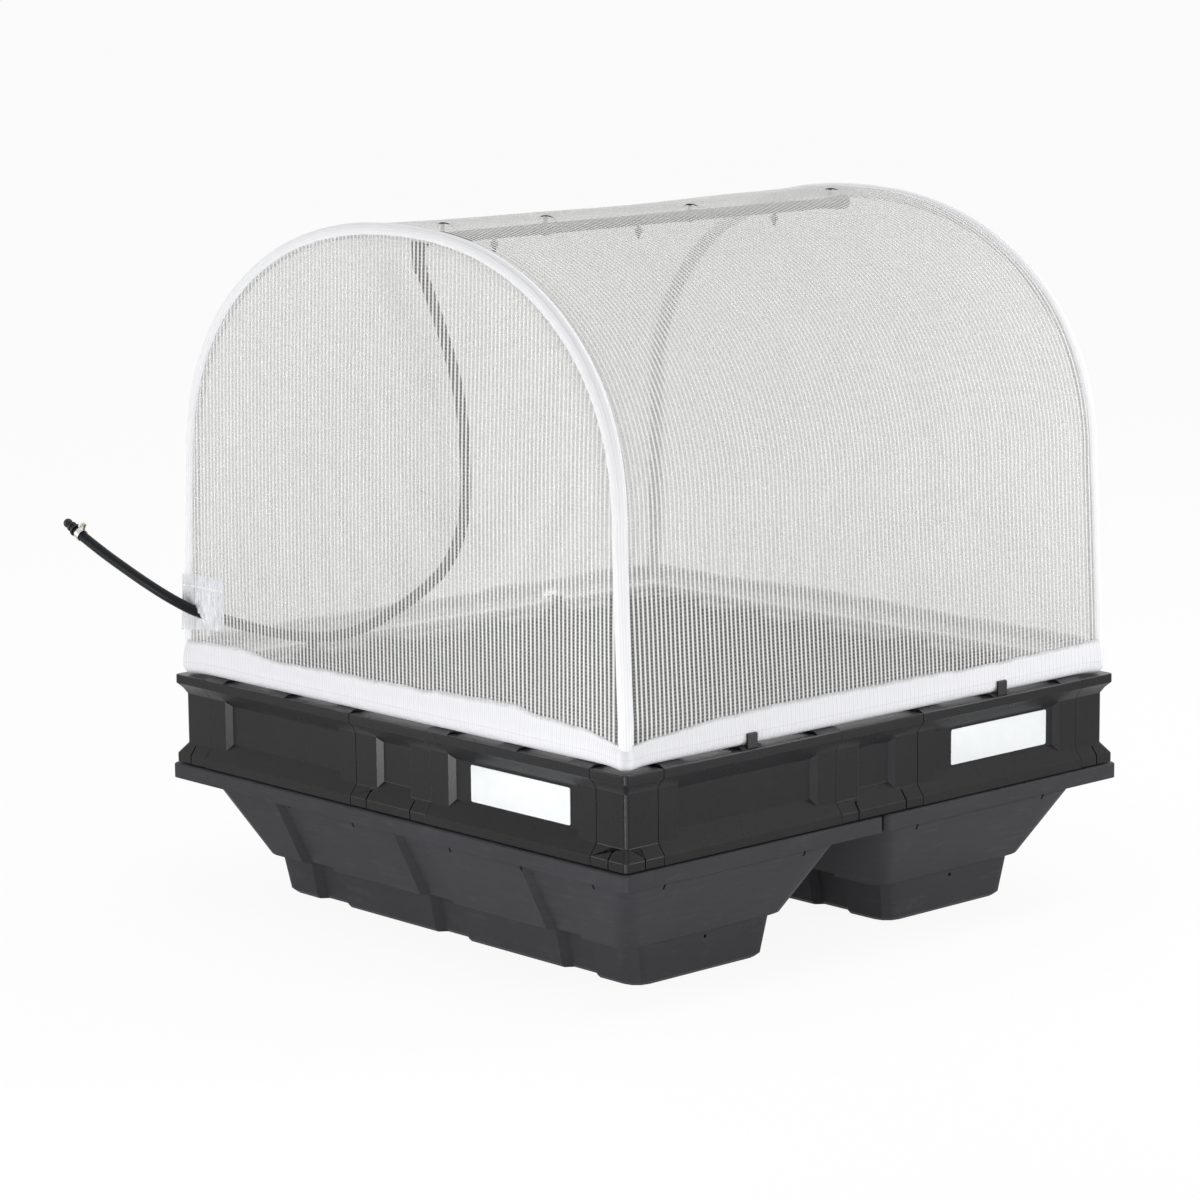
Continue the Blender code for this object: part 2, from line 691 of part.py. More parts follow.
def build_corner_post(name, sign_x, sign_y):
    """Corner of the wall: the wall profile taken round a small corner radius."""
    reach = WALL_DEPTH + CORNER_LEG
    rows = []
    for depth, z in wall_profile(0):
        radius = OUTER_CORNER if depth <= WALL_DEPTH else INNER_CORNER
        path = [(reach, depth)]
        for step in range(CORNER_STEPS + 1):
            angle = math.pi / 2 * step / CORNER_STEPS
            offset_a = radius * (1 - math.sin(angle))
            offset_b = radius * (1 - math.cos(angle))
            path.append((depth + offset_a, depth + offset_b))
        path.append((depth, reach))
        rows.append([(sign_x * (HALF_X - x), sign_y * (HALF_Y - y), z) for x, y in path])
    profile_rings = list(zip(*rows))
    post = add_part(name, mesh_from(skin(profile_rings), name), "panel_plastic")
    slit = reach - SLIT_FROM_JOINT
    spans = []
    for turned in (False, True):
        low = (slit - SLIT_WIDTH / 2, 0.0)
        high = (slit + SLIT_WIDTH / 2, WALL_DEPTH - FIT)
        if turned:
            low = low[::-1]
            high = high[::-1]
        corner_a = (sign_x * (HALF_X - low[0]), sign_y * (HALF_Y - low[1]))
        corner_b = (sign_x * (HALF_X - high[0]), sign_y * (HALF_Y - high[1]))
        spans.append((
            (min(corner_a[0], corner_b[0]), min(corner_a[1], corner_b[1]), FOOT_Z),
            (max(corner_a[0], corner_b[0]), max(corner_a[1], corner_b[1]), SKIRT_TOP_Z),
        ))
    combine(post, boxes(spans, name + "_slits"), "DIFFERENCE")


def arc(radius, start_deg, end_deg, steps, centre=(0.0, 0.0)):
    """Points on a circle, from one angle to another."""
    points = []
    for step in range(steps + 1):
        angle = math.radians(start_deg + (end_deg - start_deg) * step / steps)
        points.append((centre[0] + radius * math.cos(angle), centre[1] + radius * math.sin(angle)))
    return points


def build_clip(name, side, along, outline):
    """Extruded clip. The outline is (outward from the rail axis, up from it)."""
    place = side_frame(side)

    def to_world(out, up, station):
        return place(station, RAIL_INSET - out, RAIL_Z + up)

    bm = extrude_outline(outline, along - CLIP_WIDTH / 2, along + CLIP_WIDTH / 2, to_world)
    add_part(name, mesh_from(bm, name), "clip_plastic")


def clip_foot():
    """Heights of the clip's plate and tongue below the rail axis."""
    plate_low = BLOCK_Z - POCKET_DEPTH + FIT - RAIL_Z
    plate_high = plate_low + CLIP_PLATE
    return plate_low, plate_high


def tongue_outline(plate_low):
    """Tongue with a hook under the ledge, from the plate's outer to its inner side."""
    outer = -TONGUE_OFFSET + TONGUE_THICKNESS / 2
    inner = -TONGUE_OFFSET - TONGUE_THICKNESS / 2
    hook_z = LEDGE_Z - PANEL_WALL - FIT - RAIL_Z
    end_z = plate_low - TONGUE_DROP
    return [
        (outer, plate_low),
        (outer, hook_z),
        (outer + TONGUE_HOOK, hook_z - TONGUE_HOOK),
        (outer, end_z),
        (inner, end_z),
        (inner, plate_low),
    ]


def hinge_clip_outline():
    """Ring round the bare rail, open at the top, on a plate with a tongue."""
    plate_low, plate_high = clip_foot()
    steps = 10
    sweep = 180.0 - HINGE_MOUTH_DEG
    inner_radius = clear_round(RAIL_RADIUS + FIT, 360.0 / (2 * sweep / steps))
    outer_radius = inner_radius + HINGE_RING_WALL
    tip = 90.0 - HINGE_MOUTH_DEG
    foot = outer_radius * 0.7
    end = -TONGUE_OFFSET - TONGUE_THICKNESS
    outer_right = arc(outer_radius, tip, -50.0, 5)
    outer_left = arc(outer_radius, 230.0, 180.0 - tip, 5)
    inner = arc(inner_radius, -180.0 - tip, tip, steps)
    return (
        outer_right
        + [(foot, plate_high), (outer_radius, plate_high), (outer_radius, plate_low)]
        + tongue_outline(plate_low)
        + [(end, plate_low), (end, plate_high), (-foot, plate_high)]
        + outer_left
        + inner
    )


def latch_clip_outline():
    """Open cradle for the rail in its hem, on a plate with a tongue."""
    plate_low, plate_high = clip_foot()
    inner = HEM_RADIUS + CRADLE_CLEARANCE
    outer = inner + CLIP_ARM
    end = -TONGUE_OFFSET - TONGUE_THICKNESS
    return (
        [(inner, plate_high), (inner, LATCH_RISE), (outer, LATCH_RISE - CLIP_ARM / 2), (outer, plate_low)]
        + tongue_outline(plate_low)
        + [(end, plate_low), (end, plate_high), (-outer, plate_high)]
        + [(-outer, LATCH_RISE - CLIP_ARM), (-inner, LATCH_RISE - CLIP_ARM / 2), (-inner, plate_high)]
    )


def arch_outline(offset, bottom):
    """Points (across, height) of the hoop's line moved outwards, from the left foot to the right."""
    straight_top = RAIL_Z + HOOP_STRAIGHT
    spring_x = HALF_X - SPRING_INSET
    right = [(RAIL_X + offset, bottom)]
    if bottom < straight_top - FIT:
        right.append((RAIL_X + offset, straight_top))
    for step in range(ARCH_STEPS // 2 + 1):
        angle = math.pi / 2 * step / (ARCH_STEPS // 2)
        x = spring_x * max(math.cos(angle), 0.0) ** (2 / ARCH_POWER)
        z = ARCH_RISE * math.sin(angle) ** (2 / ARCH_POWER)
        slope = Vector((x ** (ARCH_POWER - 1) / spring_x ** ARCH_POWER,
                        z ** (ARCH_POWER - 1) / ARCH_RISE ** ARCH_POWER)).normalized()
        right.append((x + offset * slope.x, SPRING_Z + z + offset * slope.y))
    left = [(-x, z) for x, z in right[:-1]]
    crown = (0.0, right[-1][1])
    return left + [crown] + right[:-1][::-1]


def hoop_plane(z):
    """Distance of the hoop's plane from the middle of the bed: it leans in towards the crown."""
    straight_top = RAIL_Z + HOOP_STRAIGHT
    rise = max(z - straight_top, 0.0) / (CROWN_Z - straight_top)
    return RAIL_Y - HOOP_LEAN * rise ** 2


def hoop_path(side, bottom):
    return [(x, side * hoop_plane(z), z) for x, z in arch_outline(0.0, bottom)]


def build_hoop(name, side):
    add_part(name, tube(name, hoop_path(side, RAIL_Z + RAIL_RADIUS + FITTING_WALL + 2 * FIT), RAIL_RADIUS),
             "frame_plastic", on_cover=True, smooth=True)


def build_sleeve(name, side):
    """Fabric sleeve round a hoop, from the hem up and over."""
    outer_path = hoop_path(side, HEM_TOP_Z + FIT)
    sleeve = add_part(name, tube(name, outer_path, SLEEVE_RADIUS), "hem_fabric", on_cover=True, smooth=True)
    inner_path = hoop_path(side, HEM_TOP_Z - FITTING_REACH / 2)
    bore = tube(name + "_bore", inner_path, clear_round(RAIL_RADIUS + 2 * FIT, 8))
    combine(sleeve, bore, "DIFFERENCE")


def build_rails():
    end_gap = RAIL_RADIUS + FITTING_WALL + 2 * FIT
    for name, side_x, side_y in (
            ("left_rail", -1, 0), ("right_rail", 1, 0), ("front_rail", 0, -1), ("back_rail", 0, 1)):
        if side_x:
            start = (side_x * RAIL_X, -RAIL_Y + end_gap, RAIL_Z)
            end = (side_x * RAIL_X, RAIL_Y - end_gap, RAIL_Z)
        else:
            start = (-RAIL_X + end_gap, side_y * RAIL_Y, RAIL_Z)
            end = (RAIL_X - end_gap, side_y * RAIL_Y, RAIL_Z)
        mesh = cylinder_mesh(name, start, end, RAIL_RADIUS, 10)
        add_part(name, mesh, "frame_plastic", on_cover=True, smooth=True)


def build_fitting(name, sign_x, sign_y):
    """Three-way corner fitting: two rails and a hoop plug into it."""
    hub = Vector((sign_x * RAIL_X, sign_y * RAIL_Y, RAIL_Z))
    bore_radius = clear_round(RAIL_RADIUS + FIT, FITTING_SIDES)
    outer_radius = bore_radius + FITTING_WALL
    arms = (
        (Vector((-sign_x, 0, 0)), FITTING_REACH),
        (Vector((0, -sign_y, 0)), FITTING_REACH),
        (Vector((0, 0, 1)), FITTING_RISE),
    )
    ball = bmesh.new()
    at_hub = Matrix.Translation(hub)
    bmesh.ops.create_icosphere(ball, subdivisions=2, radius=outer_radius * FITTING_BALL, matrix=at_hub)
    fitting = add_part(name, mesh_from(ball, name), "frame_plastic", on_cover=True, smooth=True)
    depth = RAIL_RADIUS + FITTING_WALL + FIT
    for index, (arm, reach) in enumerate(arms):
        end = hub + arm * reach
        start = hub - arm * outer_radius / 4
        outer = cylinder_mesh(name + "_arm" + str(index), start, end, outer_radius, FITTING_SIDES)
        combine(fitting, outer, "UNION")
    for index, (arm, reach) in enumerate(arms):
        start = hub + arm * depth
        end = hub + arm * (reach + FITTING_WALL)
        bore = cylinder_mesh(name + "_bore" + str(index), start, end, bore_radius, FITTING_SIDES)
        combine(fitting, bore, "DIFFERENCE")


def hem_profile():
    """Section of the hem as (outward, up) from the rail axis: a band with a hooked lower edge."""
    outer_top = NET_OFFSET + NET_THICKNESS / 2
    inner_top = NET_OFFSET - NET_THICKNESS / 2
    outer_arc = arc(HEM_RADIUS, 0.0, -180.0, HEM_STEPS)
    inner_arc = arc(HEM_INNER, -180.0, 0.0, HEM_STEPS)
    return (
        [(outer_top, HEM_HEIGHT), (HEM_RADIUS, HEM_SHOULDER)]
        + outer_arc
        + [(-HEM_RADIUS, HEM_INNER_RISE), (-HEM_INNER, HEM_INNER_RISE)]
        + inner_arc
        + [(HEM_INNER, HEM_SHOULDER), (inner_top, HEM_HEIGHT)]
    )


def build_hem():
    """Hem all round the bottom rails, mitred at the corners and notched at the hinge clips."""
    rows = []
    for sign_x, sign_y in ((-1, -1), (1, -1), (1, 1), (-1, 1), (-1, -1)):
        rows.append([(sign_x * (RAIL_X + out), sign_y * (RAIL_Y + out), RAIL_Z + up) for out, up in hem_profile()])
    hem = add_part("hem", mesh_from(skin(rows, cap_start=False, cap_end=False), "hem"), "hem_fabric", on_cover=True, smooth=True)
    notches = []
    for along in clip_places():
        low = (-RAIL_X - 2 * HEM_RADIUS, along - HEM_NOTCH_WIDTH / 2, RAIL_Z - 2 * HEM_RADIUS)
        high = (-RAIL_X + 2 * HEM_RADIUS, along + HEM_NOTCH_WIDTH / 2, RAIL_Z + HEM_NOTCH_HEIGHT)
        notches.append((low, high))
    combine(hem, boxes(notches, "hem_notches"), "DIFFERENCE")


def build_canopy():
    """Net tunnel between the two edge sleeves, a little slack in the middle of its span."""
    edge_gap = math.sqrt((SLEEVE_RADIUS + FIT) ** 2 - (NET_OFFSET - NET_THICKNESS / 2) ** 2) + FIT
    bottom = HEM_TOP_Z + FIT
    rows = []
    for column in range(NET_COLUMNS + 1):
        share = 2 * column / NET_COLUMNS - 1
        slack = NET_SAG * (1 - share ** 2)
        row = []
        tight = arch_outline(NET_OFFSET, bottom)
        loose = arch_outline(NET_OFFSET - slack, bottom)
        for outer, inner in zip(tight, loose):
            lift = min(max(outer[1] - bottom, 0.0) / (SPRING_Z - bottom), 1.0)
            x = outer[0] + (inner[0] - outer[0]) * lift
            z = outer[1] + (inner[1] - outer[1]) * lift
            row.append((x, share * (hoop_plane(z) - edge_gap), z))
        rows.append(row)
    canopy = add_part("canopy_net", mesh_from(skin(rows, close_rows=False, cap_start=False, cap_end=False), "canopy_net"),
                      "net_fabric", on_cover=True, smooth=True)
    cloth = canopy.modifiers.new("Cloth", "SOLIDIFY")
    cloth.thickness = NET_THICKNESS
    cloth.offset = 0.0


def hose_route():
    """Line of the hose, from the elbow down round the inside of the front net, out and on."""
    ridge = [(x, y - HALF_Y, CROWN_Z - down) for x, y, down in HOSE_FROM_RIDGE]
    corner = [(x - HALF_X, y - HALF_Y, RAIL_Z + up) for x, y, up in HOSE_FROM_CORNER]
    return smooth_route(ridge + corner, HOSE_SPACING)


def hose_hole(name):
    """Cutter along the hose where it passes through the front net and the patch."""
    near = []
    for point in hose_route():
        if abs(point.y + hoop_plane(point.z) + NET_OFFSET) < HOSE_SPACING:
            near.append(point)
    return tube(name, near, HOSE_RADIUS + HOSE_SLIT_CLEARANCE)


def build_end_net(name, side):
    """Flat net inside a hoop's sleeve. It leans in with the hoop."""
    inset = math.sqrt((SLEEVE_RADIUS + FIT) ** 2 - (NET_OFFSET - NET_THICKNESS / 2) ** 2) + FIT
    outline = arch_outline(-inset, HEM_TOP_Z + FIT)
    half = len(outline) // 2
    bm = bmesh.new()
    last = None
    for i in range(half):
        pair = []
        for x, z in (outline[i], outline[-1 - i]):
            pair.append(bm.verts.new((x, side * (hoop_plane(z) + NET_OFFSET), z)))
        if last:
            bm.faces.new((last[0], last[1], pair[1], pair[0]))
        last = pair
    x, z = outline[half]
    crown = bm.verts.new((x, side * (hoop_plane(z) + NET_OFFSET), z))
    bm.faces.new((last[0], last[1], crown))
    net = add_part(name, mesh_from(bm, name), "net_fabric", on_cover=True, smooth=True)
    cloth = net.modifiers.new("Cloth", "SOLIDIFY")
    cloth.thickness = NET_THICKNESS
    cloth.offset = 0.0
    if side < 0:
        combine(net, hose_hole(name + "_hose_hole"), "DIFFERENCE")


def build_patch():
    """Clear sheet on the front net that wraps round the left leg of the hoop and its sleeve."""
    flat = NET_OFFSET + NET_THICKNESS / 2 + FIT + PATCH_THICKNESS / 2
    wrap = clear_round(SLEEVE_RADIUS + FIT, 360.0 / (PATCH_WRAP_DEG / PATCH_WRAP_STEPS)) + PATCH_THICKNESS / 2
    tangent = math.degrees(math.acos(flat / wrap))
    rows = []
    for step in range(PATCH_ROWS + 1):
        z = PATCH_BOTTOM + PATCH_HEIGHT * step / PATCH_ROWS
        leg_x = leg_centre(z)
        leg_y = -hoop_plane(z)
        row = [(leg_x + PATCH_WIDTH, leg_y - flat, z)]
        for x, y in arc(wrap, -90.0 + tangent, -PATCH_WRAP_DEG, PATCH_WRAP_STEPS):
            row.append((leg_x + x, leg_y + y, z))
        rows.append(row)
    patch = add_part("hose_patch", mesh_from(skin(rows, close_rows=False, cap_start=False, cap_end=False), "hose_patch"),
                     "clear_vinyl", on_cover=True)
    sheet = patch.modifiers.new("Sheet", "SOLIDIFY")
    sheet.thickness = PATCH_THICKNESS
    sheet.offset = 0.0
    combine(patch, hose_hole("hose_patch_hole"), "DIFFERENCE")


def leg_centre(z):
    """Across position of the left leg of a hoop at a height below the spring of the arch."""
    straight_top = RAIL_Z + HOOP_STRAIGHT
    share = max(z - straight_top, 0.0) / (SPRING_Z - straight_top)
    return -RAIL_X + (SPRING_INSET - RAIL_INSET) * share


def pipe_ends():
    """Places of the mist pipe's two ends along the tunnel."""
    return PIPE_FRONT_INSET - HALF_Y, HALF_Y - PIPE_BACK_INSET


def net_underside(y):
    """Height of the underside of the net on the ridge at a place along the tunnel."""
    share = y / hoop_plane(CROWN_Z)
    return CROWN_Z + NET_OFFSET - NET_THICKNESS / 2 - NET_SAG * (1 - share ** 2)


def build_mist_line():
    """Straight pipe under the ridge, closed at the back, with nozzles below and ties above."""
    front, back = pipe_ends()
    sides = 10
    mesh = cylinder_mesh("mist_pipe", (0.0, front, PIPE_Z), (0.0, back, PIPE_Z), PIPE_RADIUS, sides)
    add_part("mist_pipe", mesh, "hose_rubber", on_cover=True, smooth=True)

    cap_radius = clear_round(PIPE_RADIUS + FIT, sides) + PLUG_WALL
    mesh = cylinder_mesh("pipe_plug", (0.0, back - PLUG_LENGTH, PIPE_Z), (0.0, back + PLUG_WALL, PIPE_Z),
                         cap_radius, sides)
    plug = add_part("pipe_plug", mesh, "clip_plastic", on_cover=True, smooth=True)
    bore = cylinder_mesh("pipe_plug_bore", (0.0, back - 2 * PLUG_LENGTH, PIPE_Z), (0.0, back + FIT, PIPE_Z),
                         clear_round(PIPE_RADIUS + FIT, sides), sides)
    combine(plug, bore, "DIFFERENCE")

    for index in range(NOZZLE_COUNT):
        y = (index - (NOZZLE_COUNT - 1) / 2) * NOZZLE_SPACING
        build_nozzle("mist_nozzle_" + str(index + 1), y)
    places = [front + step for step in TIES_FROM_FRONT] + [back - step for step in TIES_FROM_BACK]
    for index, y in enumerate(places):
        build_tie("ridge_tie_" + str(index + 1), y)


def turned_part(name, profile, steps):
    """Piece turned about +Z from a (radius, height) profile that runs from top to bottom."""
    data = bpy.data.meshes.new(name)
    edges = [(i, i + 1) for i in range(len(profile) - 1)]
    data.from_pydata([(radius, 0.0, up) for radius, up in profile], edges, [])
    piece = add_part(name, data, "clip_plastic", on_cover=True)
    turn = piece.modifiers.new("Turn", "SCREW")
    turn.steps = steps
    turn.render_steps = steps
    turn.use_merge_vertices = True
    turn.merge_threshold = 1e-5
    return piece


def build_nozzle(name, y):
    """Turned nozzle that hangs below the pipe: neck, six-sided body and spray tip."""
    top = PIPE_Z - PIPE_RADIUS - FIT
    profile = (
        (0.0, 0.0), (0.0028, 0.0), (0.0028, -0.004), (0.0055, -0.004), (0.0055, -0.010),
        (0.0035, -0.010), (0.0022, -0.018), (0.0, -0.018),
    )
    nozzle = turned_part(name, profile, 8)
    nozzle.location = (0.0, y, top)


def build_tie(name, y):
    """Band round the pipe with a stem up to the net."""
    sides = 12
    inner_radius = clear_round(PIPE_RADIUS + FIT, sides)
    outer_radius = inner_radius + TIE_THICKNESS
    ring = arc(inner_radius, 100.0, 440.0, sides) + arc(outer_radius, 440.0, 100.0, sides)
    rows = [[(x, y + half, PIPE_Z + z) for x, z in ring] for half in (-TIE_WIDTH / 2, TIE_WIDTH / 2)]
    tie = add_part(name, mesh_from(skin(rows), name), "clip_plastic", on_cover=True)
    stem_top = net_underside(y) - 2 * FIT
    half = TIE_STEM / 2
    low = (-half, y - half, PIPE_Z + outer_radius - TIE_THICKNESS / 2)
    high = (half, y + half, stem_top)
    combine(tie, boxes(((low, high), ), name + "_stem"), "UNION")


def smooth_route(points, spacing):
    """Evenly spaced points on a smooth curve through the route's own points."""
    route = [Vector(point) for point in points]
    ends = [2 * route[0] - route[1]] + route + [2 * route[-1] - route[-2]]
    fine = []
    for a, b, c, d in zip(ends, ends[1:], ends[2:], ends[3:]):
        for step in range(12):
            t = step / 12
            fine.append(0.5 * (2 * b + (c - a) * t + (2 * a - 5 * b + 4 * c - d) * t ** 2
                               + (3 * b - a - 3 * c + d) * t ** 3))
    fine.append(route[-1])
    lengths = [0.0]
    for a, b in zip(fine, fine[1:]):
        lengths.append(lengths[-1] + (b - a).length)
    count = max(int(round(lengths[-1] / spacing)), 2)
    picked = []
    index = 0
    for step in range(count + 1):
        wanted = lengths[-1] * step / count
        while index < len(lengths) - 2 and lengths[index + 1] < wanted:
            index += 1
        share = (wanted - lengths[index]) / (lengths[index + 1] - lengths[index])
        picked.append(fine[index].lerp(fine[index + 1], share))
    return picked


def build_hose():
    """Feed hose with its elbow at the mist pipe and its clamp and tap connector at the free end."""
    route = hose_route()
    add_part("feed_hose", tube("feed_hose", route, HOSE_RADIUS), "hose_rubber", on_cover=True, smooth=True)

    front = pipe_ends()[0]
    first = (route[1] - route[0]).normalized()
    begin = Vector((0.0, front - FIT, PIPE_Z))
    finish = route[0] - first * FIT
    straight = Vector((0.0, -ELBOW_STRAIGHT, 0.0))
    turn = smooth_route((begin + straight, begin + 2 * straight, finish - first * ELBOW_STRAIGHT), ELBOW_STRAIGHT)
    elbow = tube("pipe_elbow", [begin] + turn + [finish], ELBOW_RADIUS)
    add_part("pipe_elbow", elbow, "clip_plastic", on_cover=True, smooth=True)

    end = route[-1]
    out = (route[-1] - route[-2]).normalized()
    sides = 12
    middle = end - out * CLAMP_WIDTH * 1.2
    inner = clear_round(HOSE_RADIUS + FIT, sides)
    outer = inner + CLAMP_THICKNESS
    clamp_mesh = cylinder_mesh("hose_clamp", middle - out * CLAMP_WIDTH / 2, middle + out * CLAMP_WIDTH / 2,
                               outer, sides)
    clamp = add_part("hose_clamp", clamp_mesh, "clamp_steel", on_cover=True)
    up = out.cross(Vector((0.0, 1.0, 0.0))).normalized()
    if up.z < 0.0:
        up = -up
    ear = cylinder_mesh("hose_clamp_ear", middle + up * inner, middle + up * (outer + 0.006), 0.0035, 6)
    combine(clamp, ear, "UNION")
    bore = cylinder_mesh("hose_clamp_bore", middle - out * CLAMP_WIDTH, middle + out * CLAMP_WIDTH, inner, sides)
    combine(clamp, bore, "DIFFERENCE")

    profile = (
        (0.0, 0.0), (0.0095, 0.0), (0.0095, 0.006), (0.0065, 0.008), (0.0065, 0.013), (0.0088, 0.015),
        (0.0088, 0.024), (0.0075, 0.026), (0.0075, CONNECTOR_LENGTH), (0.0, CONNECTOR_LENGTH),
    )
    connector = turned_part("tap_connector", profile[::-1], sides)
    connector.rotation_mode = "QUATERNION"
    connector.rotation_quaternion = out.to_track_quat("Z", "Y")
    connector.location = end + out * FIT


def clip_places():
    """Places along a side of the middles of its two long panels."""
    half = side_length(1) / 2
    inner = JOINER_LENGTH / 2
    outer = half - CORNER_LEG
    return -(inner + outer) / 2, (inner + outer) / 2


def build_wall():
    """Corner posts, long panels and joiners, all round the bed."""
    names = ("front", "right", "back", "left")
    for side, label in enumerate(names):
        half = side_length(side) / 2
        inner = JOINER_LENGTH / 2 + JOINT
        outer = half - CORNER_LEG - JOINT
        has_clip = side % 2 == 1
        build_long_panel(label + "_panel_a", side, -outer, -inner, has_clip)
        build_long_panel(label + "_panel_b", side, inner, outer, has_clip)
        build_joiner(label + "_joiner", side)
    build_corner_post("corner_post_front_left", -1, -1)
    build_corner_post("corner_post_front_right", 1, -1)
    build_corner_post("corner_post_back_right", 1, 1)
    build_corner_post("corner_post_back_left", -1, 1)


def build_bed():
    build_trough("front_trough", -1)
    build_trough("back_trough", 1)
    build_tray("front_tray", -1)
    build_tray("back_tray", 1)
    build_wall()
    for index, along in enumerate(clip_places()):
        build_clip("latch_clip_" + str(index + 1), 1, along, latch_clip_outline())
        build_clip("hinge_clip_" + str(index + 1), 3, along, hinge_clip_outline())


def build_cover():
    build_rails()
    for name, sign_x, sign_y in (
            ("fitting_front_left", -1, -1), ("fitting_front_right", 1, -1),
            ("fitting_back_right", 1, 1), ("fitting_back_left", -1, 1)):
        build_fitting(name, sign_x, sign_y)
    for label, side in (("front", -1), ("back", 1)):
        build_hoop(label + "_hoop", side)
        build_sleeve(label + "_sleeve", side)
        build_end_net(label + "_net", side)
    build_canopy()
    build_hem()
    build_patch()
    build_mist_line()
    build_hose()


build_bed()
build_cover()
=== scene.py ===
"""Looks of the covered raised bed: moulded plastic, net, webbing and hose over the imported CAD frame."""
import math

import bmesh
import bpy
from mathutils import Matrix, Vector, noise


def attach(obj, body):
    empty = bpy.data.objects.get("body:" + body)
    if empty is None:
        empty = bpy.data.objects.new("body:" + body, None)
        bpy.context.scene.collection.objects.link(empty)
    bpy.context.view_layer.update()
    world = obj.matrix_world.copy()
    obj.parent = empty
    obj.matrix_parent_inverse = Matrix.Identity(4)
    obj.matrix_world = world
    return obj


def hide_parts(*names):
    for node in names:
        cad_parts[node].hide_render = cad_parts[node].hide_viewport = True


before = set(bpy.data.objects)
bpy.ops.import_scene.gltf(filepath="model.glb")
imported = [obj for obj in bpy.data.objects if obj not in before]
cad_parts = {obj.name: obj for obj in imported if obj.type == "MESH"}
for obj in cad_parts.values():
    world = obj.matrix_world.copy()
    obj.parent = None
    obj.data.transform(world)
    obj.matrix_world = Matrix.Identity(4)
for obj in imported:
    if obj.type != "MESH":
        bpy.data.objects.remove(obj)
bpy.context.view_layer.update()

# Camera: a long lens a little above the crown of the tunnel, on the corner between the hose end
# and the latch side.
TURN, TILT, ROLL = (math.radians(angle) for angle in (47.442, 10.266, -0.521))
CAMERA_PLACE = (4.4194, -4.1409, 1.5423)
CAMERA_LENS = 124.5
camera_back = Vector((math.sin(TURN) * math.cos(TILT), -math.cos(TURN) * math.cos(TILT), math.sin(TILT)))
level_right = (-camera_back).cross(Vector((0.0, 0.0, 1.0))).normalized()
level_up = level_right.cross(-camera_back)
camera_right = math.cos(ROLL) * level_right + math.sin(ROLL) * level_up
camera_up = math.cos(ROLL) * level_up - math.sin(ROLL) * level_right
camera = bpy.data.objects.new("studio_camera", bpy.data.cameras.new("studio_camera"))
bpy.context.scene.collection.objects.link(camera)
camera.data.lens = CAMERA_LENS
camera.data.clip_end = 300.0
pose = Matrix((camera_right, camera_up, camera_back)).transposed().to_4x4()
camera.matrix_world = Matrix.Translation(CAMERA_PLACE) @ pose
bpy.context.scene.camera = camera
bpy.context.scene.view_settings.view_transform = "Standard"


# Studio: a pale floor that runs out of sight under a white sky. Soft boxes stand left and right, above and
# behind, and a low strip in front catches the slanted ends of the wall's recesses.
def linear(code):
    """Linear colour of an sRGB hex code."""
    channels = [int(code[i:i + 2], 16) / 255.0 for i in (1, 3, 5)]
    return [c / 12.92 if c <= 0.04045 else ((c + 0.055) / 1.055) ** 2.4 for c in channels] + [1.0]


def add(tree, kind, inputs=(), **settings):
    """Add a shader node with its settings, and with values or links on its inputs."""
    node = tree.nodes.new("ShaderNode" + kind)
    for name, value in settings.items():
        setattr(node, name, value)
    for socket, value in dict(inputs).items():
        if isinstance(value, bpy.types.NodeSocket):
            tree.links.new(value, node.inputs[socket])
        else:
            node.inputs[socket].default_value = value
    return node


def new_tree(name):
    """Empty node tree of a new material, and the material."""
    material = bpy.data.materials.new(name)
    material.use_nodes = True
    material.node_tree.nodes.clear()
    return material, material.node_tree


def seen_share(tree):
    """Socket that is 1 for rays that show the background itself or its mirror image, and 0 for light."""
    rays = add(tree, "LightPath")
    seen = add(tree, "Math", {0: rays.outputs["Is Camera Ray"], 1: rays.outputs["Is Glossy Ray"]},
               operation="MAXIMUM")
    seen = add(tree, "Math", {0: seen.outputs[0], 1: rays.outputs["Is Transmission Ray"]},
               operation="MAXIMUM")
    return seen.outputs[0]


SKY_LIGHT = 0.60
FLOOR_GLOW = 0.92
LAMP_AIM = Vector((0.0, 0.0, 0.5))

world = bpy.data.worlds.new("studio")
world.use_nodes = True
world.node_tree.nodes.clear()
sky = world.node_tree
lit = add(sky, "Background", {"Color": linear("#ffffff"), "Strength": SKY_LIGHT})
white = add(sky, "Background", {"Color": linear("#ffffff"), "Strength": 1.0})
either = add(sky, "MixShader", {0: seen_share(sky), 1: lit.outputs[0], 2: white.outputs[0]})
add(sky, "OutputWorld", {0: either.outputs[0]})
bpy.context.scene.world = world

bm = bmesh.new()
bmesh.ops.create_grid(bm, x_segments=1, y_segments=1, size=110.0)
floor_mesh = bpy.data.meshes.new("studio_floor")
bm.to_mesh(floor_mesh)
bm.free()
floor = bpy.data.objects.new("studio_floor", floor_mesh)
bpy.context.scene.collection.objects.link(floor)
paper, tree = new_tree("white_paper_sweep")
shade = add(tree, "BsdfDiffuse", {"Color": linear("#f0f0f0")})
glow = add(tree, "Emission", {"Color": linear("#ffffff"), "Strength": 1.0})
share = add(tree, "Math", {0: seen_share(tree), 1: FLOOR_GLOW}, operation="MULTIPLY")
mixed = add(tree, "MixShader", {0: share.outputs[0], 1: shade.outputs[0], 2: glow.outputs[0]})
add(tree, "OutputMaterial", {0: mixed.outputs[0]})
floor_mesh.materials.append(paper)

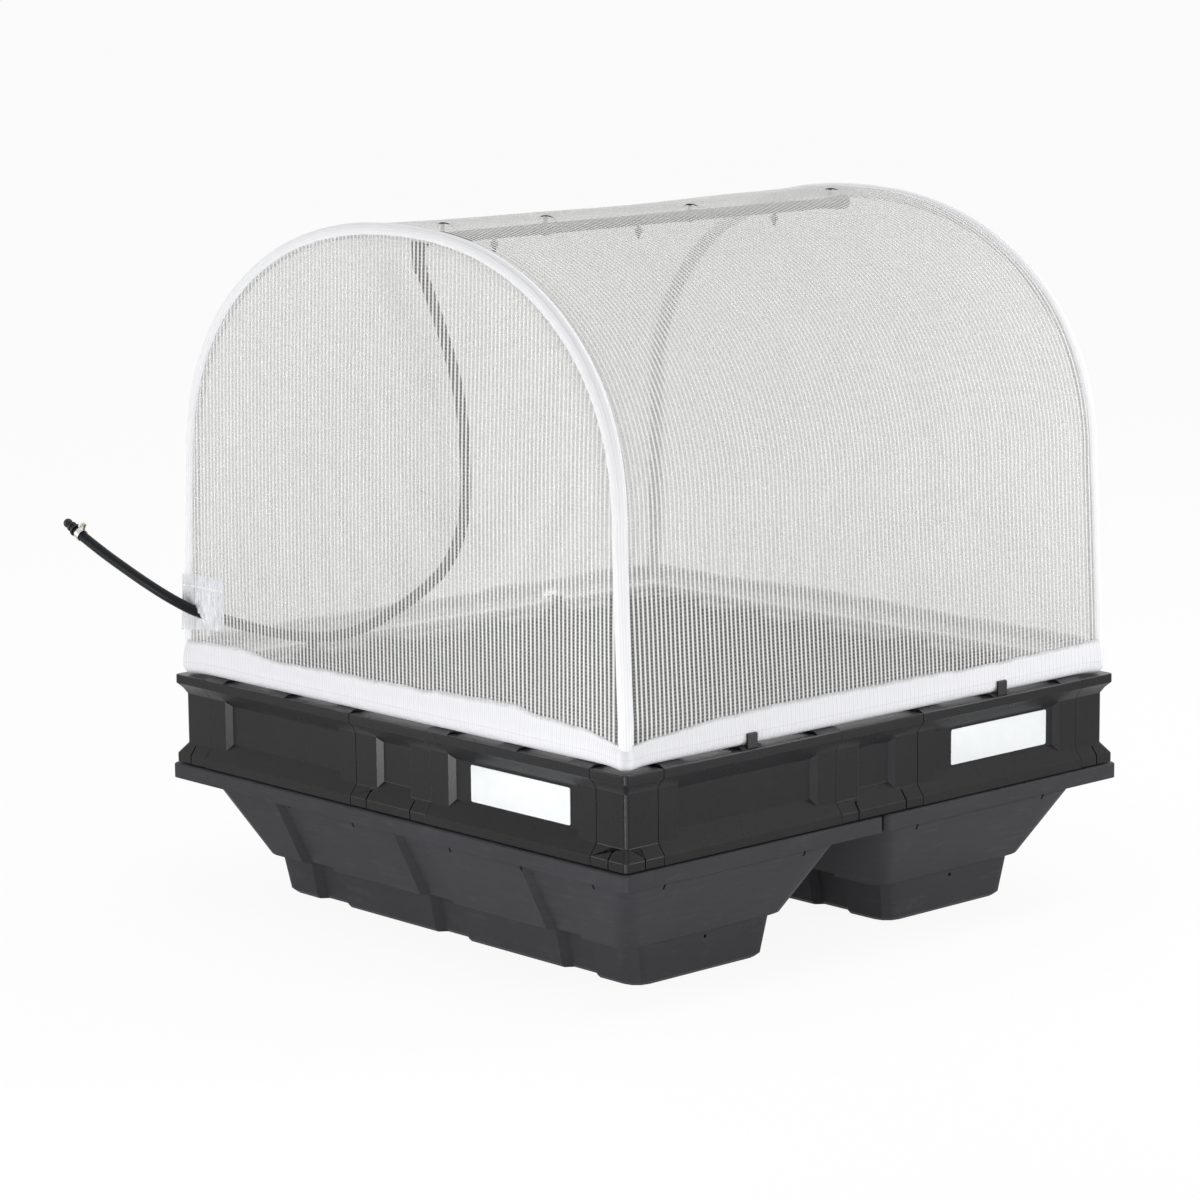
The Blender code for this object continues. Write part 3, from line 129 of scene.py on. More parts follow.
for label, place, width, height, power in (
        ("left_soft_box", (-1.3, -2.3, 0.55), 1.0, 0.9, 18.0),
        ("low_strip_box", (0.8, -1.56, 0.08), 0.6, 0.12, 7.0),
        ("right_soft_box", (2.7, 1.3, 0.6), 1.1, 1.0, 32.0),
        ("back_soft_box", (0.9, 2.9, 3.3), 1.8, 1.4, 48.0),
        ("top_soft_box", (0.2, -0.4, 4.2), 2.4, 2.4, 34.0)):
    lamp_data = bpy.data.lights.new(label, "AREA")
    lamp_data.shape = "RECTANGLE"
    lamp_data.size = width
    lamp_data.size_y = height
    lamp_data.energy = power
    lamp = bpy.data.objects.new(label, lamp_data)
    bpy.context.scene.collection.objects.link(lamp)
    lamp.location = place
    lamp.visible_camera = False
    lamp.rotation_euler = (LAMP_AIM - Vector(place)).to_track_quat("-Z", "Y").to_euler()


# Feed hose: 12 mm bore rubber hose, extruded with a smooth skin that dulls as it is handled. It drops from
# the mist pipe round the inside of the front net and springs out through the clear patch to its tap end.
HOSE_RADIUS = 0.0078
HOSE_ROUTE = (
    (0.024, -0.4360, 0.9680), (0.047, -0.4375, 0.9300), (0.074, -0.4400, 0.8830),
    (0.098, -0.4420, 0.8330), (0.114, -0.4430, 0.7780), (0.120, -0.4430, 0.7180),
    (0.118, -0.4430, 0.6508), (0.103, -0.4430, 0.6008), (0.070, -0.4430, 0.5548),
    (0.020, -0.4430, 0.5168), (-0.038, -0.4430, 0.4828), (-0.100, -0.4430, 0.4518),
    (-0.165, -0.4430, 0.4298), (-0.238, -0.4435, 0.4178), (-0.310, -0.4460, 0.4148),
    (-0.370, -0.4530, 0.4178), (-0.415, -0.4680, 0.4253), (-0.448, -0.4880, 0.4348),
    (-0.482, -0.5060, 0.4513), (-0.525, -0.5150, 0.4683), (-0.572, -0.5180, 0.4845),
    (-0.622, -0.5210, 0.5028), (-0.668, -0.5240, 0.5218), (-0.690, -0.5250, 0.5318),
)


def smooth_line(points, steps):
    """Smooth curve through the points, with that many steps between each two."""
    through = [Vector(point) for point in points]
    ends = [2 * through[0] - through[1]] + through + [2 * through[-1] - through[-2]]
    line = []
    for a, b, c, d in zip(ends, ends[1:], ends[2:], ends[3:]):
        for step in range(steps):
            t = step / steps
            line.append(0.5 * (2 * b + (c - a) * t + (2 * a - 5 * b + 4 * c - d) * t ** 2
                               + (3 * b - a - 3 * c + d) * t ** 3))
    return line + [through[-1]]


def tube_piece(name, line, radius, resolution):
    """Tube along a line, as a curve object of one open spline."""
    curve = bpy.data.curves.new(name, "CURVE")
    curve.dimensions = "3D"
    curve.bevel_depth = radius
    curve.bevel_resolution = resolution
    curve.use_fill_caps = True
    spline = curve.splines.new("POLY")
    spline.points.add(len(line) - 1)
    for target, point in zip(spline.points, line):
        target.co = (*point, 1.0)
    spline.use_smooth = True
    piece = bpy.data.objects.new(name, curve)
    bpy.context.scene.collection.objects.link(piece)
    return piece


hose_rubber, tree = new_tree("black_epdm_rubber")
place = add(tree, "TexCoord")
dust = add(tree, "TexNoise", {"Vector": place.outputs["Object"], "Scale": 1 / 0.035, "Detail": 6.0})
tone = add(tree, "Mix", {"Factor": dust.outputs["Fac"], "A": linear("#08090b"), "B": linear("#131418")},
           data_type="RGBA")
dull = add(tree, "MapRange", {"Value": dust.outputs["Fac"], "To Min": 0.30, "To Max": 0.50})
skin = add(tree, "TexNoise", {"Vector": place.outputs["Object"], "Scale": 1 / 0.0016, "Detail": 2.0})
relief = add(tree, "Bump", {"Height": skin.outputs["Fac"], "Distance": 0.0002, "Strength": 0.5})
rubber = add(tree, "BsdfPrincipled", {"Base Color": tone.outputs["Result"],
                                      "Roughness": dull.outputs["Result"],
                                      "Specular IOR Level": 0.14, "Normal": relief.outputs["Normal"]})
add(tree, "OutputMaterial", {0: rubber.outputs[0]})

hose_line = smooth_line(HOSE_ROUTE, 6)
hose = tube_piece("feed_hose_tube", hose_line, HOSE_RADIUS, 6)
hose.data.materials.append(hose_rubber)
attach(hose, "cover")
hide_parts("feed_hose")


# Tap end: a turned plug connector with a barb flange, neck, collar and rounded head, pushed into the hose
# and held by a worm clamp of bright pressed steel whose two ears stand up from the band.
def placed_piece(name, bm, material, matrix=None, smooth_angle=35.0):
    """Finish a bmesh as a piece of the scene: moved into place, round faces smooth."""
    if matrix is not None:
        bmesh.ops.transform(bm, matrix=matrix, verts=bm.verts)
    mesh = bpy.data.meshes.new(name)
    bm.to_mesh(mesh)
    bm.free()
    mesh.materials.append(material)
    mesh.shade_smooth()
    mesh.set_sharp_from_angle(angle=math.radians(smooth_angle))
    piece = bpy.data.objects.new(name, mesh)
    bpy.context.scene.collection.objects.link(piece)
    return piece


def turned(profile, steps):
    """Closed body turned about +Z from (radius, height) points, the first and last of them on the axis."""
    bm = bmesh.new()
    verts = [bm.verts.new((radius, 0.0, height)) for radius, height in profile]
    edges = [bm.edges.new(pair) for pair in zip(verts, verts[1:])]
    bmesh.ops.spin(bm, geom=verts + edges, axis=(0, 0, 1), cent=(0, 0, 0), angle=math.tau, steps=steps,
                   use_merge=True)
    bmesh.ops.remove_doubles(bm, verts=bm.verts, dist=1e-6)
    bmesh.ops.recalc_face_normals(bm, faces=bm.faces)
    return bm


hose_end = Vector(HOSE_ROUTE[-1])
hose_way = (hose_line[-1] - hose_line[-2]).normalized()
along_hose = hose_way.to_track_quat("Z", "Y").to_matrix().to_4x4()

fitting_nylon, tree = new_tree("black_glass_filled_nylon")
place = add(tree, "TexCoord")
fibre = add(tree, "TexNoise", {"Vector": place.outputs["Object"], "Scale": 1 / 0.0012, "Detail": 3.0})
tone = add(tree, "Mix", {"Factor": fibre.outputs["Fac"], "A": linear("#0e0e10"), "B": linear("#1c1c1e")},
           data_type="RGBA")
relief = add(tree, "Bump", {"Height": fibre.outputs["Fac"], "Distance": 0.0001, "Strength": 0.4})
nylon = add(tree, "BsdfPrincipled", {"Base Color": tone.outputs["Result"], "Roughness": 0.38,
                                     "Specular IOR Level": 0.30, "Normal": relief.outputs["Normal"]})
add(tree, "OutputMaterial", {0: nylon.outputs[0]})

HEAD_RADIUS = 0.0072
HEAD_MIDDLE = 0.0222
flange = [(0.0, 0.0004), (0.0095, 0.0004), (0.0099, 0.0010), (0.0099, 0.0034), (0.0092, 0.0042)]
neck = [(0.0064, 0.0050), (0.0060, 0.0094)]
collar = [(0.0076, 0.0104), (0.0080, 0.0114), (0.0080, 0.0132), (0.0072, 0.0142), (0.0052, 0.0154)]
head = [(HEAD_RADIUS * math.cos(math.radians(angle)),
         HEAD_MIDDLE + HEAD_RADIUS * math.sin(math.radians(angle))) for angle in range(-50, 61, 10)]
bore = [(0.0026, 0.0288), (0.0026, 0.0240), (0.0, 0.0240)]
connector_body = turned(flange + neck + collar + head + bore, 40)
connector = placed_piece("tap_plug_connector", connector_body, fitting_nylon,
                         Matrix.Translation(hose_end) @ along_hose)
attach(connector, "cover")
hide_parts("tap_connector")

clamp_steel, tree = new_tree("zinc_plated_steel_strip")
place = add(tree, "TexCoord")
brushed = add(tree, "TexNoise", {"Vector": place.outputs["Object"], "Scale": 1 / 0.0010, "Detail": 4.0})
sheen = add(tree, "MapRange", {"Value": brushed.outputs["Fac"], "To Min": 0.22, "To Max": 0.42})
tone = add(tree, "Mix", {"Factor": brushed.outputs["Fac"], "A": linear("#b4b2ac"), "B": linear("#e6e4de")},
           data_type="RGBA")
steel = add(tree, "BsdfPrincipled", {"Base Color": tone.outputs["Result"], "Metallic": 1.0,
                                     "Roughness": sheen.outputs["Result"]})
add(tree, "OutputMaterial", {0: steel.outputs[0]})

CLAMP_INNER = 0.0083
CLAMP_OUTER = 0.0094
CLAMP_HALF = 0.0045
CLAMP_FROM_END = 0.0108
EAR_SIZE = (0.0110, 0.0011, 0.0078)
EAR_MIDDLE = CLAMP_OUTER + 0.0046
EAR_SPREAD = 0.0018
SCREW_MIDDLE = CLAMP_OUTER + 0.0066
SCREW_RADIUS = 0.0013
SCREW_LENGTH = 0.013
SCREW_HEAD_FOOT = 0.0030
SCREW_HEAD_TOP = 0.0026
SCREW_HEAD_PLACE = -0.0062
band = turned([(CLAMP_OUTER, -CLAMP_HALF), (CLAMP_OUTER, CLAMP_HALF), (CLAMP_INNER, CLAMP_HALF),
               (CLAMP_INNER, -CLAMP_HALF), (CLAMP_OUTER, -CLAMP_HALF)], 40)
for side in (-1, 1):
    ear = bmesh.ops.create_cube(band, size=1.0)["verts"]
    bmesh.ops.transform(band, verts=ear, matrix=Matrix.Translation((EAR_MIDDLE, side * EAR_SPREAD, 0.0))
                        @ Matrix.Diagonal((*EAR_SIZE, 1.0)))
screw = bmesh.ops.create_cone(band, cap_ends=True, segments=12, radius1=SCREW_RADIUS,
                              radius2=SCREW_RADIUS, depth=SCREW_LENGTH)["verts"]
bmesh.ops.transform(band, verts=screw, matrix=Matrix.Translation((SCREW_MIDDLE, 0.0, 0.0))
                    @ Matrix.Rotation(math.pi / 2, 4, "X"))
head_verts = bmesh.ops.create_cone(band, cap_ends=True, segments=6, radius1=SCREW_HEAD_FOOT,
                                   radius2=SCREW_HEAD_TOP, depth=0.0026)["verts"]
head_place = Matrix.Translation((SCREW_MIDDLE, SCREW_HEAD_PLACE, 0.0))
bmesh.ops.transform(band, verts=head_verts, matrix=head_place @ Matrix.Rotation(math.pi / 2, 4, "X"))
ear_up = hose_way.cross(Vector((0.0, 1.0, 0.0))).normalized()
ear_up = ear_up if ear_up.z > 0.0 else -ear_up
clamp_frame = Matrix((ear_up, hose_way.cross(ear_up), hose_way)).transposed().to_4x4()
clamp = placed_piece("worm_clamp", band, clamp_steel,
                     Matrix.Translation(hose_end - hose_way * CLAMP_FROM_END) @ clamp_frame)
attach(clamp, "cover")
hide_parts("hose_clamp")


# Troughs: two deep tubs moulded in dark grey polypropylene with a fine matt grain. The rim, flutes and
# floor edges are rounded off, and faint pale rubs run over the walls. The upright flute sides and the
# down-facing faces are painted a little paler, painted light in their shade.
PLASTIC_GRAIN = 0.0022
SHARP_FROM = math.radians(28.0)


def rounded_moulding(node, material, width=0.0013):
    """Copy of a CAD moulding with its sharp edges rounded off, in place of the CAD node."""
    bm = bmesh.new()
    bm.from_mesh(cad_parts[node].data)
    bmesh.ops.remove_doubles(bm, verts=bm.verts, dist=1e-5)
    bmesh.ops.dissolve_limit(bm, angle_limit=math.radians(1.0), verts=bm.verts, edges=bm.edges)
    sharp = [edge for edge in bm.edges if edge.is_manifold and edge.calc_face_angle(0.0) > SHARP_FROM]
    bmesh.ops.bevel(bm, geom=sharp, offset=width, affect="EDGES", segments=3, profile=0.5, material=-1,
                    clamp_overlap=True)
    bmesh.ops.triangulate(bm, faces=[face for face in bm.faces if len(face.verts) > 4])
    piece = placed_piece(node + "_moulding", bm, material, smooth_angle=50.0)
    flats = piece.modifiers.new("flat_faces_stay_flat", "WEIGHTED_NORMAL")
    flats.keep_sharp = True
    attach(piece, "bed")
    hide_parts(node)
    return piece


def moulded_plastic(name, dark, light, roughness, scuff=0.0, shine=0.30, painted_light_share=0.0, dust_and_reflection_tone="#77767a"):
    """Moulded plastic: cloudy tone, fine grain, up-facing faces paler with dust and a painted reflection,
    pale rubs where scuff is above 0, and slanted upright faces and down-facing faces painted paler where
    rolled is above 0: a painted highlight on the slants and painted light in the shade below."""
    material, tree = new_tree(name)
    place = add(tree, "TexCoord")
    cloud = add(tree, "TexNoise", {"Vector": place.outputs["Object"], "Scale": 1 / 0.18, "Detail": 5.0})
    tone = add(tree, "Mix", {"Factor": cloud.outputs["Fac"], "A": linear(dark), "B": linear(light)},
               data_type="RGBA")
    rub = add(tree, "TexNoise", {"Vector": place.outputs["Object"], "Scale": 1 / 0.05, "Detail": 9.0,
                                 "Roughness": 0.7, "Distortion": 1.5})
    flatten = add(tree, "Mapping", {"Vector": place.outputs["Object"], "Scale": (14.0, 14.0, 150.0)})
    streak = add(tree, "TexNoise", {"Vector": flatten.outputs["Vector"], "Scale": 1.0, "Detail": 8.0,
                                    "Roughness": 0.65})
    worn = add(tree, "Math", {0: rub.outputs["Fac"], 1: streak.outputs["Fac"]}, operation="MULTIPLY")
    worn = add(tree, "MapRange", {"Value": worn.outputs[0], "From Min": 0.26, "From Max": 0.46,
                                  "To Max": scuff})
    tone = add(tree, "Mix", {"Factor": worn.outputs["Result"], "A": tone.outputs["Result"],
                             "B": linear("#77787c")}, data_type="RGBA")
    split = add(tree, "SeparateXYZ", {0: place.outputs["Normal"]})
    # Slanted upright faces are mixed towards a mid grey as a painted highlight, and down-facing faces as
    # painted light in their shade.
    if painted_light_share:
        painted_slant_highlight = add(tree, "Math", {0: split.outputs["X"], 1: split.outputs["Y"]}, operation="MULTIPLY")
        painted_slant_highlight = add(tree, "Math", {0: painted_slant_highlight.outputs[0]}, operation="ABSOLUTE")
        painted_slant_highlight = add(tree, "MapRange", {"Value": painted_slant_highlight.outputs[0], "From Min": 0.26, "From Max": 0.49,
                                       "To Max": painted_light_share}, interpolation_type="SMOOTHSTEP")
        painted_under_light = add(tree, "MapRange", {"Value": split.outputs["Z"], "From Min": -0.10, "From Max": -0.50,
                                       "To Max": 0.45 * painted_light_share})
        painted_light_mask = add(tree, "Math", {0: painted_slant_highlight.outputs["Result"], 1: painted_under_light.outputs["Result"]},
                      operation="MAXIMUM")
        tone = add(tree, "Mix", {"Factor": painted_light_mask.outputs[0], "A": tone.outputs["Result"],
                                 "B": linear("#5c5d60")}, data_type="RGBA")
    # Up-facing faces turn paler in patches: dust, and a painted reflection of the pale cloth above them.
    dust = add(tree, "MapRange", {"Value": split.outputs["Z"], "From Min": 0.80, "From Max": 0.98,
                                  "To Max": 0.50}, interpolation_type="SMOOTHSTEP")
    dust_and_painted_reflection = add(tree, "Math", {0: dust.outputs["Result"], 1: rub.outputs["Fac"]}, operation="MULTIPLY")
    tone = add(tree, "Mix", {"Factor": dust_and_painted_reflection.outputs[0], "A": tone.outputs["Result"], "B": linear(dust_and_reflection_tone)},
               data_type="RGBA")
    dull = add(tree, "MapRange", {"Value": rub.outputs["Fac"], "To Min": 0.88 * roughness,
                                  "To Max": 1.12 * roughness})
    fine = add(tree, "TexNoise", {"Vector": place.outputs["Object"], "Scale": 1 / PLASTIC_GRAIN,
                                  "Detail": 3.0})
    relief = add(tree, "Bump", {"Height": fine.outputs["Fac"], "Distance": 0.00006, "Strength": 0.22})
    plastic = add(tree, "BsdfPrincipled", {"Base Color": tone.outputs["Result"],
                                           "Roughness": dull.outputs["Result"],
                                           "Specular IOR Level": shine,
                                           "Normal": relief.outputs["Normal"]})
    add(tree, "OutputMaterial", {0: plastic.outputs[0]})
    return material


trough_plastic = moulded_plastic("grey_black_polypropylene_tub", "#262629", "#333337", 0.60, scuff=0.10,
                                 shine=0.20, painted_light_share=0.12, dust_and_reflection_tone="#6c6e74")
for node in ("front_trough", "back_trough"):
    rounded_moulding(node, trough_plastic, width=0.0018)

# Trays: thin black false floors that lie on the trough ledges. They only show from above, so the CAD
# nodes stay and take the plastic.
tray_plastic = moulded_plastic("black_polypropylene_tray", "#1b1b1d", "#252527", 0.55, dust_and_reflection_tone="#5e6066")
for node in ("front_tray", "back_tray"):
    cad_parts[node].data.materials.clear()
    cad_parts[node].data.materials.append(tray_plastic)

# Wall: black injection moulded panels, posts and joiners that clip into each other. Their outer skin has
# a satin grain, and the edges that the mould rolls off catch the light beside each dark joint. The slanted
# ends of the recesses carry a painted highlight, the down-facing faces are painted paler as painted light in
# their shade, and the ledge tops are paler with dust and a painted reflection.
panel_plastic = moulded_plastic("black_polypropylene_panel", "#0e0e0f", "#161618", 0.28, scuff=0.015,
                                shine=0.20, painted_light_share=0.24)
for side in ("front", "right", "back", "left"):
    for part in ("_panel_a", "_panel_b", "_joiner"):
        rounded_moulding(side + part, panel_plastic)
for corner in ("front_left", "front_right", "back_right", "back_left"):
    rounded_moulding("corner_post_" + corner, panel_plastic)

# Clips: small satin black mouldings pressed through the ledge. They hold the right rail down and let
# the left one turn.
clip_plastic = moulded_plastic("black_acetal_clip", "#0c0c0d", "#121213", 0.38)
for kind in ("latch_clip_", "hinge_clip_"):
    for number in ("1", "2"):
        rounded_moulding(kind + number, clip_plastic, width=0.0004)

# Plates: two bare plates of white enamelled aluminium. One is glued in the long recess of a front panel,
# the other in that of a right panel, and their thin rims are rounded over.
PLATE_THICKNESS = 0.0012
PLATE_ROUND = 0.003
PLATE_RIM = 0.0002
RECESS_FACE = 0.4746
FRONT_PLATE_SPAN = (0.160, 0.364)
FRONT_PLATE_RISE = (0.2427, 0.2950)
RIGHT_PLATE_SPAN = (0.161, 0.365)
RIGHT_PLATE_RISE = (0.2437, 0.2955)


def plate(name, low, high, face):
    """Thin plate with rounded corners from its low to its high corner. Its face looks along x or y."""
    bm = bmesh.new()
    cube = bmesh.ops.create_cube(bm, size=1.0)["verts"]
    size = Vector(high) - Vector(low)
    bmesh.ops.transform(bm, verts=cube, matrix=Matrix.Translation((Vector(high) + Vector(low)) / 2)
                        @ Matrix.Diagonal((*size, 1.0)))
    across = 0 if face == "x" else 1
    corners = [edge for edge in bm.edges
               if abs(edge.verts[0].co[across] - edge.verts[1].co[across]) > PLATE_THICKNESS / 2]
    bmesh.ops.bevel(bm, geom=corners, offset=PLATE_ROUND, affect="EDGES", segments=5, profile=0.5,
                    material=-1)
    rim = [edge for edge in bm.edges if edge.calc_face_angle(0.0) > math.radians(60.0)]
    bmesh.ops.bevel(bm, geom=rim, offset=PLATE_RIM, affect="EDGES", segments=2, profile=0.5, material=-1)
    piece = placed_piece(name, bm, plate_enamel)
    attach(piece, "bed")
    return piece


plate_enamel, tree = new_tree("white_enamelled_aluminium")
place = add(tree, "TexCoord")
wave = add(tree, "TexNoise", {"Vector": place.outputs["Object"], "Scale": 1 / 0.02, "Detail": 3.0})
tone = add(tree, "Mix", {"Factor": wave.outputs["Fac"], "A": linear("#d9dcdd"), "B": linear("#e3e6e6")},
           data_type="RGBA")
relief = add(tree, "Bump", {"Height": wave.outputs["Fac"], "Distance": 0.0003, "Strength": 0.3})
enamel = add(tree, "BsdfPrincipled", {"Base Color": tone.outputs["Result"], "Roughness": 0.42,
                                      "Normal": relief.outputs["Normal"]})
add(tree, "OutputMaterial", {0: enamel.outputs[0]})
plate("front_plate", (FRONT_PLATE_SPAN[0], -RECESS_FACE - PLATE_THICKNESS, FRONT_PLATE_RISE[0]),
      (FRONT_PLATE_SPAN[1], -RECESS_FACE, FRONT_PLATE_RISE[1]), "y")
plate("right_plate", (RECESS_FACE, RIGHT_PLATE_SPAN[0], RIGHT_PLATE_RISE[0]),
      (RECESS_FACE + PLATE_THICKNESS, RIGHT_PLATE_SPAN[1], RIGHT_PLATE_RISE[1]), "x")

# Cover frame: white PVC rails, hoops and corner fittings inside the fabric, so the CAD nodes stay and take
# the plastic. The left rail shows bare where the hem is notched for the hinge clips.
frame_plastic = moulded_plastic("white_pvc_tube", "#eeeeee", "#f8f8f8", 0.40)
for node in ("left_rail", "right_rail", "front_rail", "back_rail", "front_hoop", "back_hoop",
             "fitting_front_left", "fitting_front_right", "fitting_back_right", "fitting_back_left"):
    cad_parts[node].data.materials.clear()
    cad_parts[node].data.materials.append(frame_plastic)

# Mist line: black rubber pipe with nylon plug, elbow, nozzles and ties, hung under the ridge. It is mostly
# seen through the net, so the CAD nodes stay and take the hose's rubber and the fitting's nylon.
for node in ("mist_pipe", "pipe_elbow", "pipe_plug", "mist_nozzle_1", "mist_nozzle_2", "mist_nozzle_3",
             "ridge_tie_1", "ridge_tie_2", "ridge_tie_3", "ridge_tie_4"):
    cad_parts[node].data.materials.clear()
    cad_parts[node].data.materials.append(hose_rubber if node == "mist_pipe" else fitting_nylon)

# Net: white knitted polyethylene shade net. Thick chain-stitched ribs run up the ends and over the tunnel
# 8 mm apart. The zigzag threads between them are drawn 5 mm apart, coarser than the real ones, which are
# too fine to show here, and the loose fibres are left to the slight haze of the gaps.
RAIL_PLACE = 0.4745
RAIL_Z = 0.3508
STRAIGHT_TOP = RAIL_Z + 0.044
SPRING_Z = 0.653
SPRING_HALF = 0.463
ARCH_RISE = 0.370
ARCH_POWER = 2.22
HOOP_LEAN = 0.0144
CROWN_Z = SPRING_Z + ARCH_RISE
NET_OFFSET = 0.0085
NET_FOOT = 0.366
RIB_PITCH = 0.0082
THREAD_PITCH = 0.0050


def half_arch(offset, foot):
    """Fine (across, height) points up one side of the hoop's line moved outwards, foot to crown."""
    points = [Vector((RAIL_PLACE + offset, foot)), Vector((RAIL_PLACE + offset, STRAIGHT_TOP))]
    for step in range(91):
        angle = math.pi / 2 * step / 90
        x = SPRING_HALF * max(math.cos(angle), 0.0) ** (2 / ARCH_POWER)
        z = ARCH_RISE * math.sin(angle) ** (2 / ARCH_POWER)
        slope = Vector((x ** (ARCH_POWER - 1) / SPRING_HALF ** ARCH_POWER,
                        z ** (ARCH_POWER - 1) / ARCH_RISE ** ARCH_POWER)).normalized()
        points.append(Vector((x, SPRING_Z + z)) + offset * slope)
    return points


def walker(points):
    """Total length of a line of points, and a function from a distance along it to a point."""
    marks = [0.0]
    for a, b in zip(points, points[1:]):
        marks.append(marks[-1] + (b - a).length)

    def at(distance):
        low, high = 0, len(marks) - 1
        while high - low > 1:
            middle = (low + high) // 2
            low, high = (middle, high) if marks[middle] <= distance else (low, middle)
        return points[low].lerp(points[high], (distance - marks[low]) / (marks[high] - marks[low]))

    return marks[-1], at


def hoop_plane(z):
    """Distance of a hoop's plane from the middle of the bed at a height."""
    rise = max(z - STRAIGHT_TOP, 0.0) / (CROWN_Z - STRAIGHT_TOP)
    return RAIL_PLACE - HOOP_LEAN * rise ** 2


def spread(columns, rows, place_at):
    """Grid whose points place_at puts at (across, along) shares from 0 to 1, with its UV map in metres.

    place_at gives a point and its two distances on the cloth."""
    bm = bmesh.new()
    bmesh.ops.create_grid(bm, x_segments=columns, y_segments=rows, size=0.5)
    cloth = bm.loops.layers.uv.new("cloth")
    flat = {}
    for vert in bm.verts:
        vert.co, flat[vert] = place_at(vert.co.x + 0.5, vert.co.y + 0.5)
    for face in bm.faces:
        for loop in face.loops:
            loop[cloth].uv = flat[loop.vert]
    return bm


net_white, tree = new_tree("white_knitted_shade_net")
uv = add(tree, "UVMap", uv_map="cloth")
split = add(tree, "SeparateXYZ", {0: uv.outputs["UV"]})
along_rib = add(tree, "Mapping", {"Vector": uv.outputs["UV"], "Scale": (18.0, 6.0, 1.0)})
wander = add(tree, "TexNoise", {"Vector": along_rib.outputs["Vector"], "Scale": 1.0, "Detail": 3.0})
shift = add(tree, "MapRange", {"Value": wander.outputs["Fac"], "To Min": -0.0010, "To Max": 0.0010})
across = add(tree, "Math", {0: split.outputs["X"], 1: shift.outputs["Result"]}, operation="ADD")
rib = add(tree, "Math", {0: across.outputs[0], 1: RIB_PITCH / 2}, operation="PINGPONG")
rib_mask = add(tree, "MapRange", {"Value": rib.outputs[0], "From Min": 0.0013, "From Max": 0.0022,
                                  "To Min": 0.93, "To Max": 0.0}, interpolation_type="SMOOTHSTEP")
zigzag = add(tree, "Math", {0: rib.outputs[0], 1: 0.6}, operation="MULTIPLY")
climb = add(tree, "Math", {0: split.outputs["Y"], 1: zigzag.outputs[0]}, operation="ADD")
thread = add(tree, "Math", {0: climb.outputs[0], 1: THREAD_PITCH / 2}, operation="PINGPONG")
thread_mask = add(tree, "MapRange", {"Value": thread.outputs[0], "From Min": 0.00060, "From Max": 0.00130,
                                     "To Min": 0.28, "To Max": 0.10}, interpolation_type="SMOOTHSTEP")
cover_mask = add(tree, "Math", {0: rib_mask.outputs["Result"], 1: thread_mask.outputs["Result"]},
                 operation="MAXIMUM")
uneven = add(tree, "TexNoise", {"Vector": uv.outputs["UV"], "Scale": 1 / 0.004, "Detail": 2.0})
thin = add(tree, "MapRange", {"Value": uneven.outputs["Fac"], "To Min": 0.92, "To Max": 1.03})
cover_mask = add(tree, "Math", {0: cover_mask.outputs[0], 1: thin.outputs["Result"]}, operation="MULTIPLY",
                 use_clamp=True)
tone = add(tree, "Mix", {"Factor": wander.outputs["Fac"], "A": linear("#f3f3f2"), "B": linear("#fafaf9")},
           data_type="RGBA")
relief = add(tree, "Bump", {"Height": rib_mask.outputs["Result"], "Distance": 0.0006, "Strength": 0.6})
yarn = add(tree, "BsdfDiffuse", {"Color": tone.outputs["Result"], "Normal": relief.outputs["Normal"]})
through = add(tree, "BsdfTranslucent", {"Color": tone.outputs["Result"]})
cloth = add(tree, "MixShader", {0: 0.60, 1: yarn.outputs[0], 2: through.outputs[0]})
gap = add(tree, "BsdfTransparent", {"Color": linear("#f4f4f4")})
net_shader = add(tree, "MixShader", {0: cover_mask.outputs[0], 1: gap.outputs[0], 2: cloth.outputs[0]})
add(tree, "OutputMaterial", {0: net_shader.outputs[0]})

EDGE_GAP = 0.0045
NET_THICKNESS = 0.0004
NET_SAG = 0.0060
NET_BILLOW = 0.0022
TIE_DIP = 0.003
TIE_REACH = 0.03
RIDGE_HALF = 0.05
TUCK = 0.0045
TIE_PLACES = (-0.375, -0.182, 0.104, 0.400)
side_length, side_point = walker(half_arch(NET_OFFSET, NET_FOOT))


def tunnel_point(across, along):
    """Point of the tunnel net, and where it lies on the flat cloth."""
    distance = (2 * across - 1) * side_length
    point = side_point(side_length - abs(distance))
    share = 2 * along - 1
    lift = min(max((point.y - NET_FOOT) / (SPRING_Z - NET_FOOT), 0.0), 1.0)
    x = math.copysign(point.x, distance)
    y = share * (hoop_plane(point.y) - EDGE_GAP)
    hold = 1 - share ** 8
    slack = NET_SAG * (1 - share ** 2) * lift
    billow = NET_BILLOW * hold * noise.noise(Vector((x * 3.1, y * 4.3, point.y * 3.1)))
    ridge = max(1 - abs(distance) / RIDGE_HALF, 0.0) ** 2
    for tie in TIE_PLACES:
        slack += TIE_DIP * ridge * max(1 - abs(y - tie) / TIE_REACH, 0.0) ** 2
    tuck = TUCK * max((abs(share) - 0.985) / 0.015, 0.0)
    outward = Vector((x / SPRING_HALF, max(point.y - SPRING_Z, 0.0) / ARCH_RISE)).normalized()
    x -= outward.x * (slack + billow + tuck)
    z = point.y - outward.y * (slack + billow + tuck)
    return (x, y, z), (y, distance)


bm = spread(220, 150, tunnel_point)
bmesh.ops.solidify(bm, geom=bm.faces[:], thickness=NET_THICKNESS)
canopy = placed_piece("tunnel_net", bm, net_white, smooth_angle=80.0)
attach(canopy, "cover")
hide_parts("canopy_net")

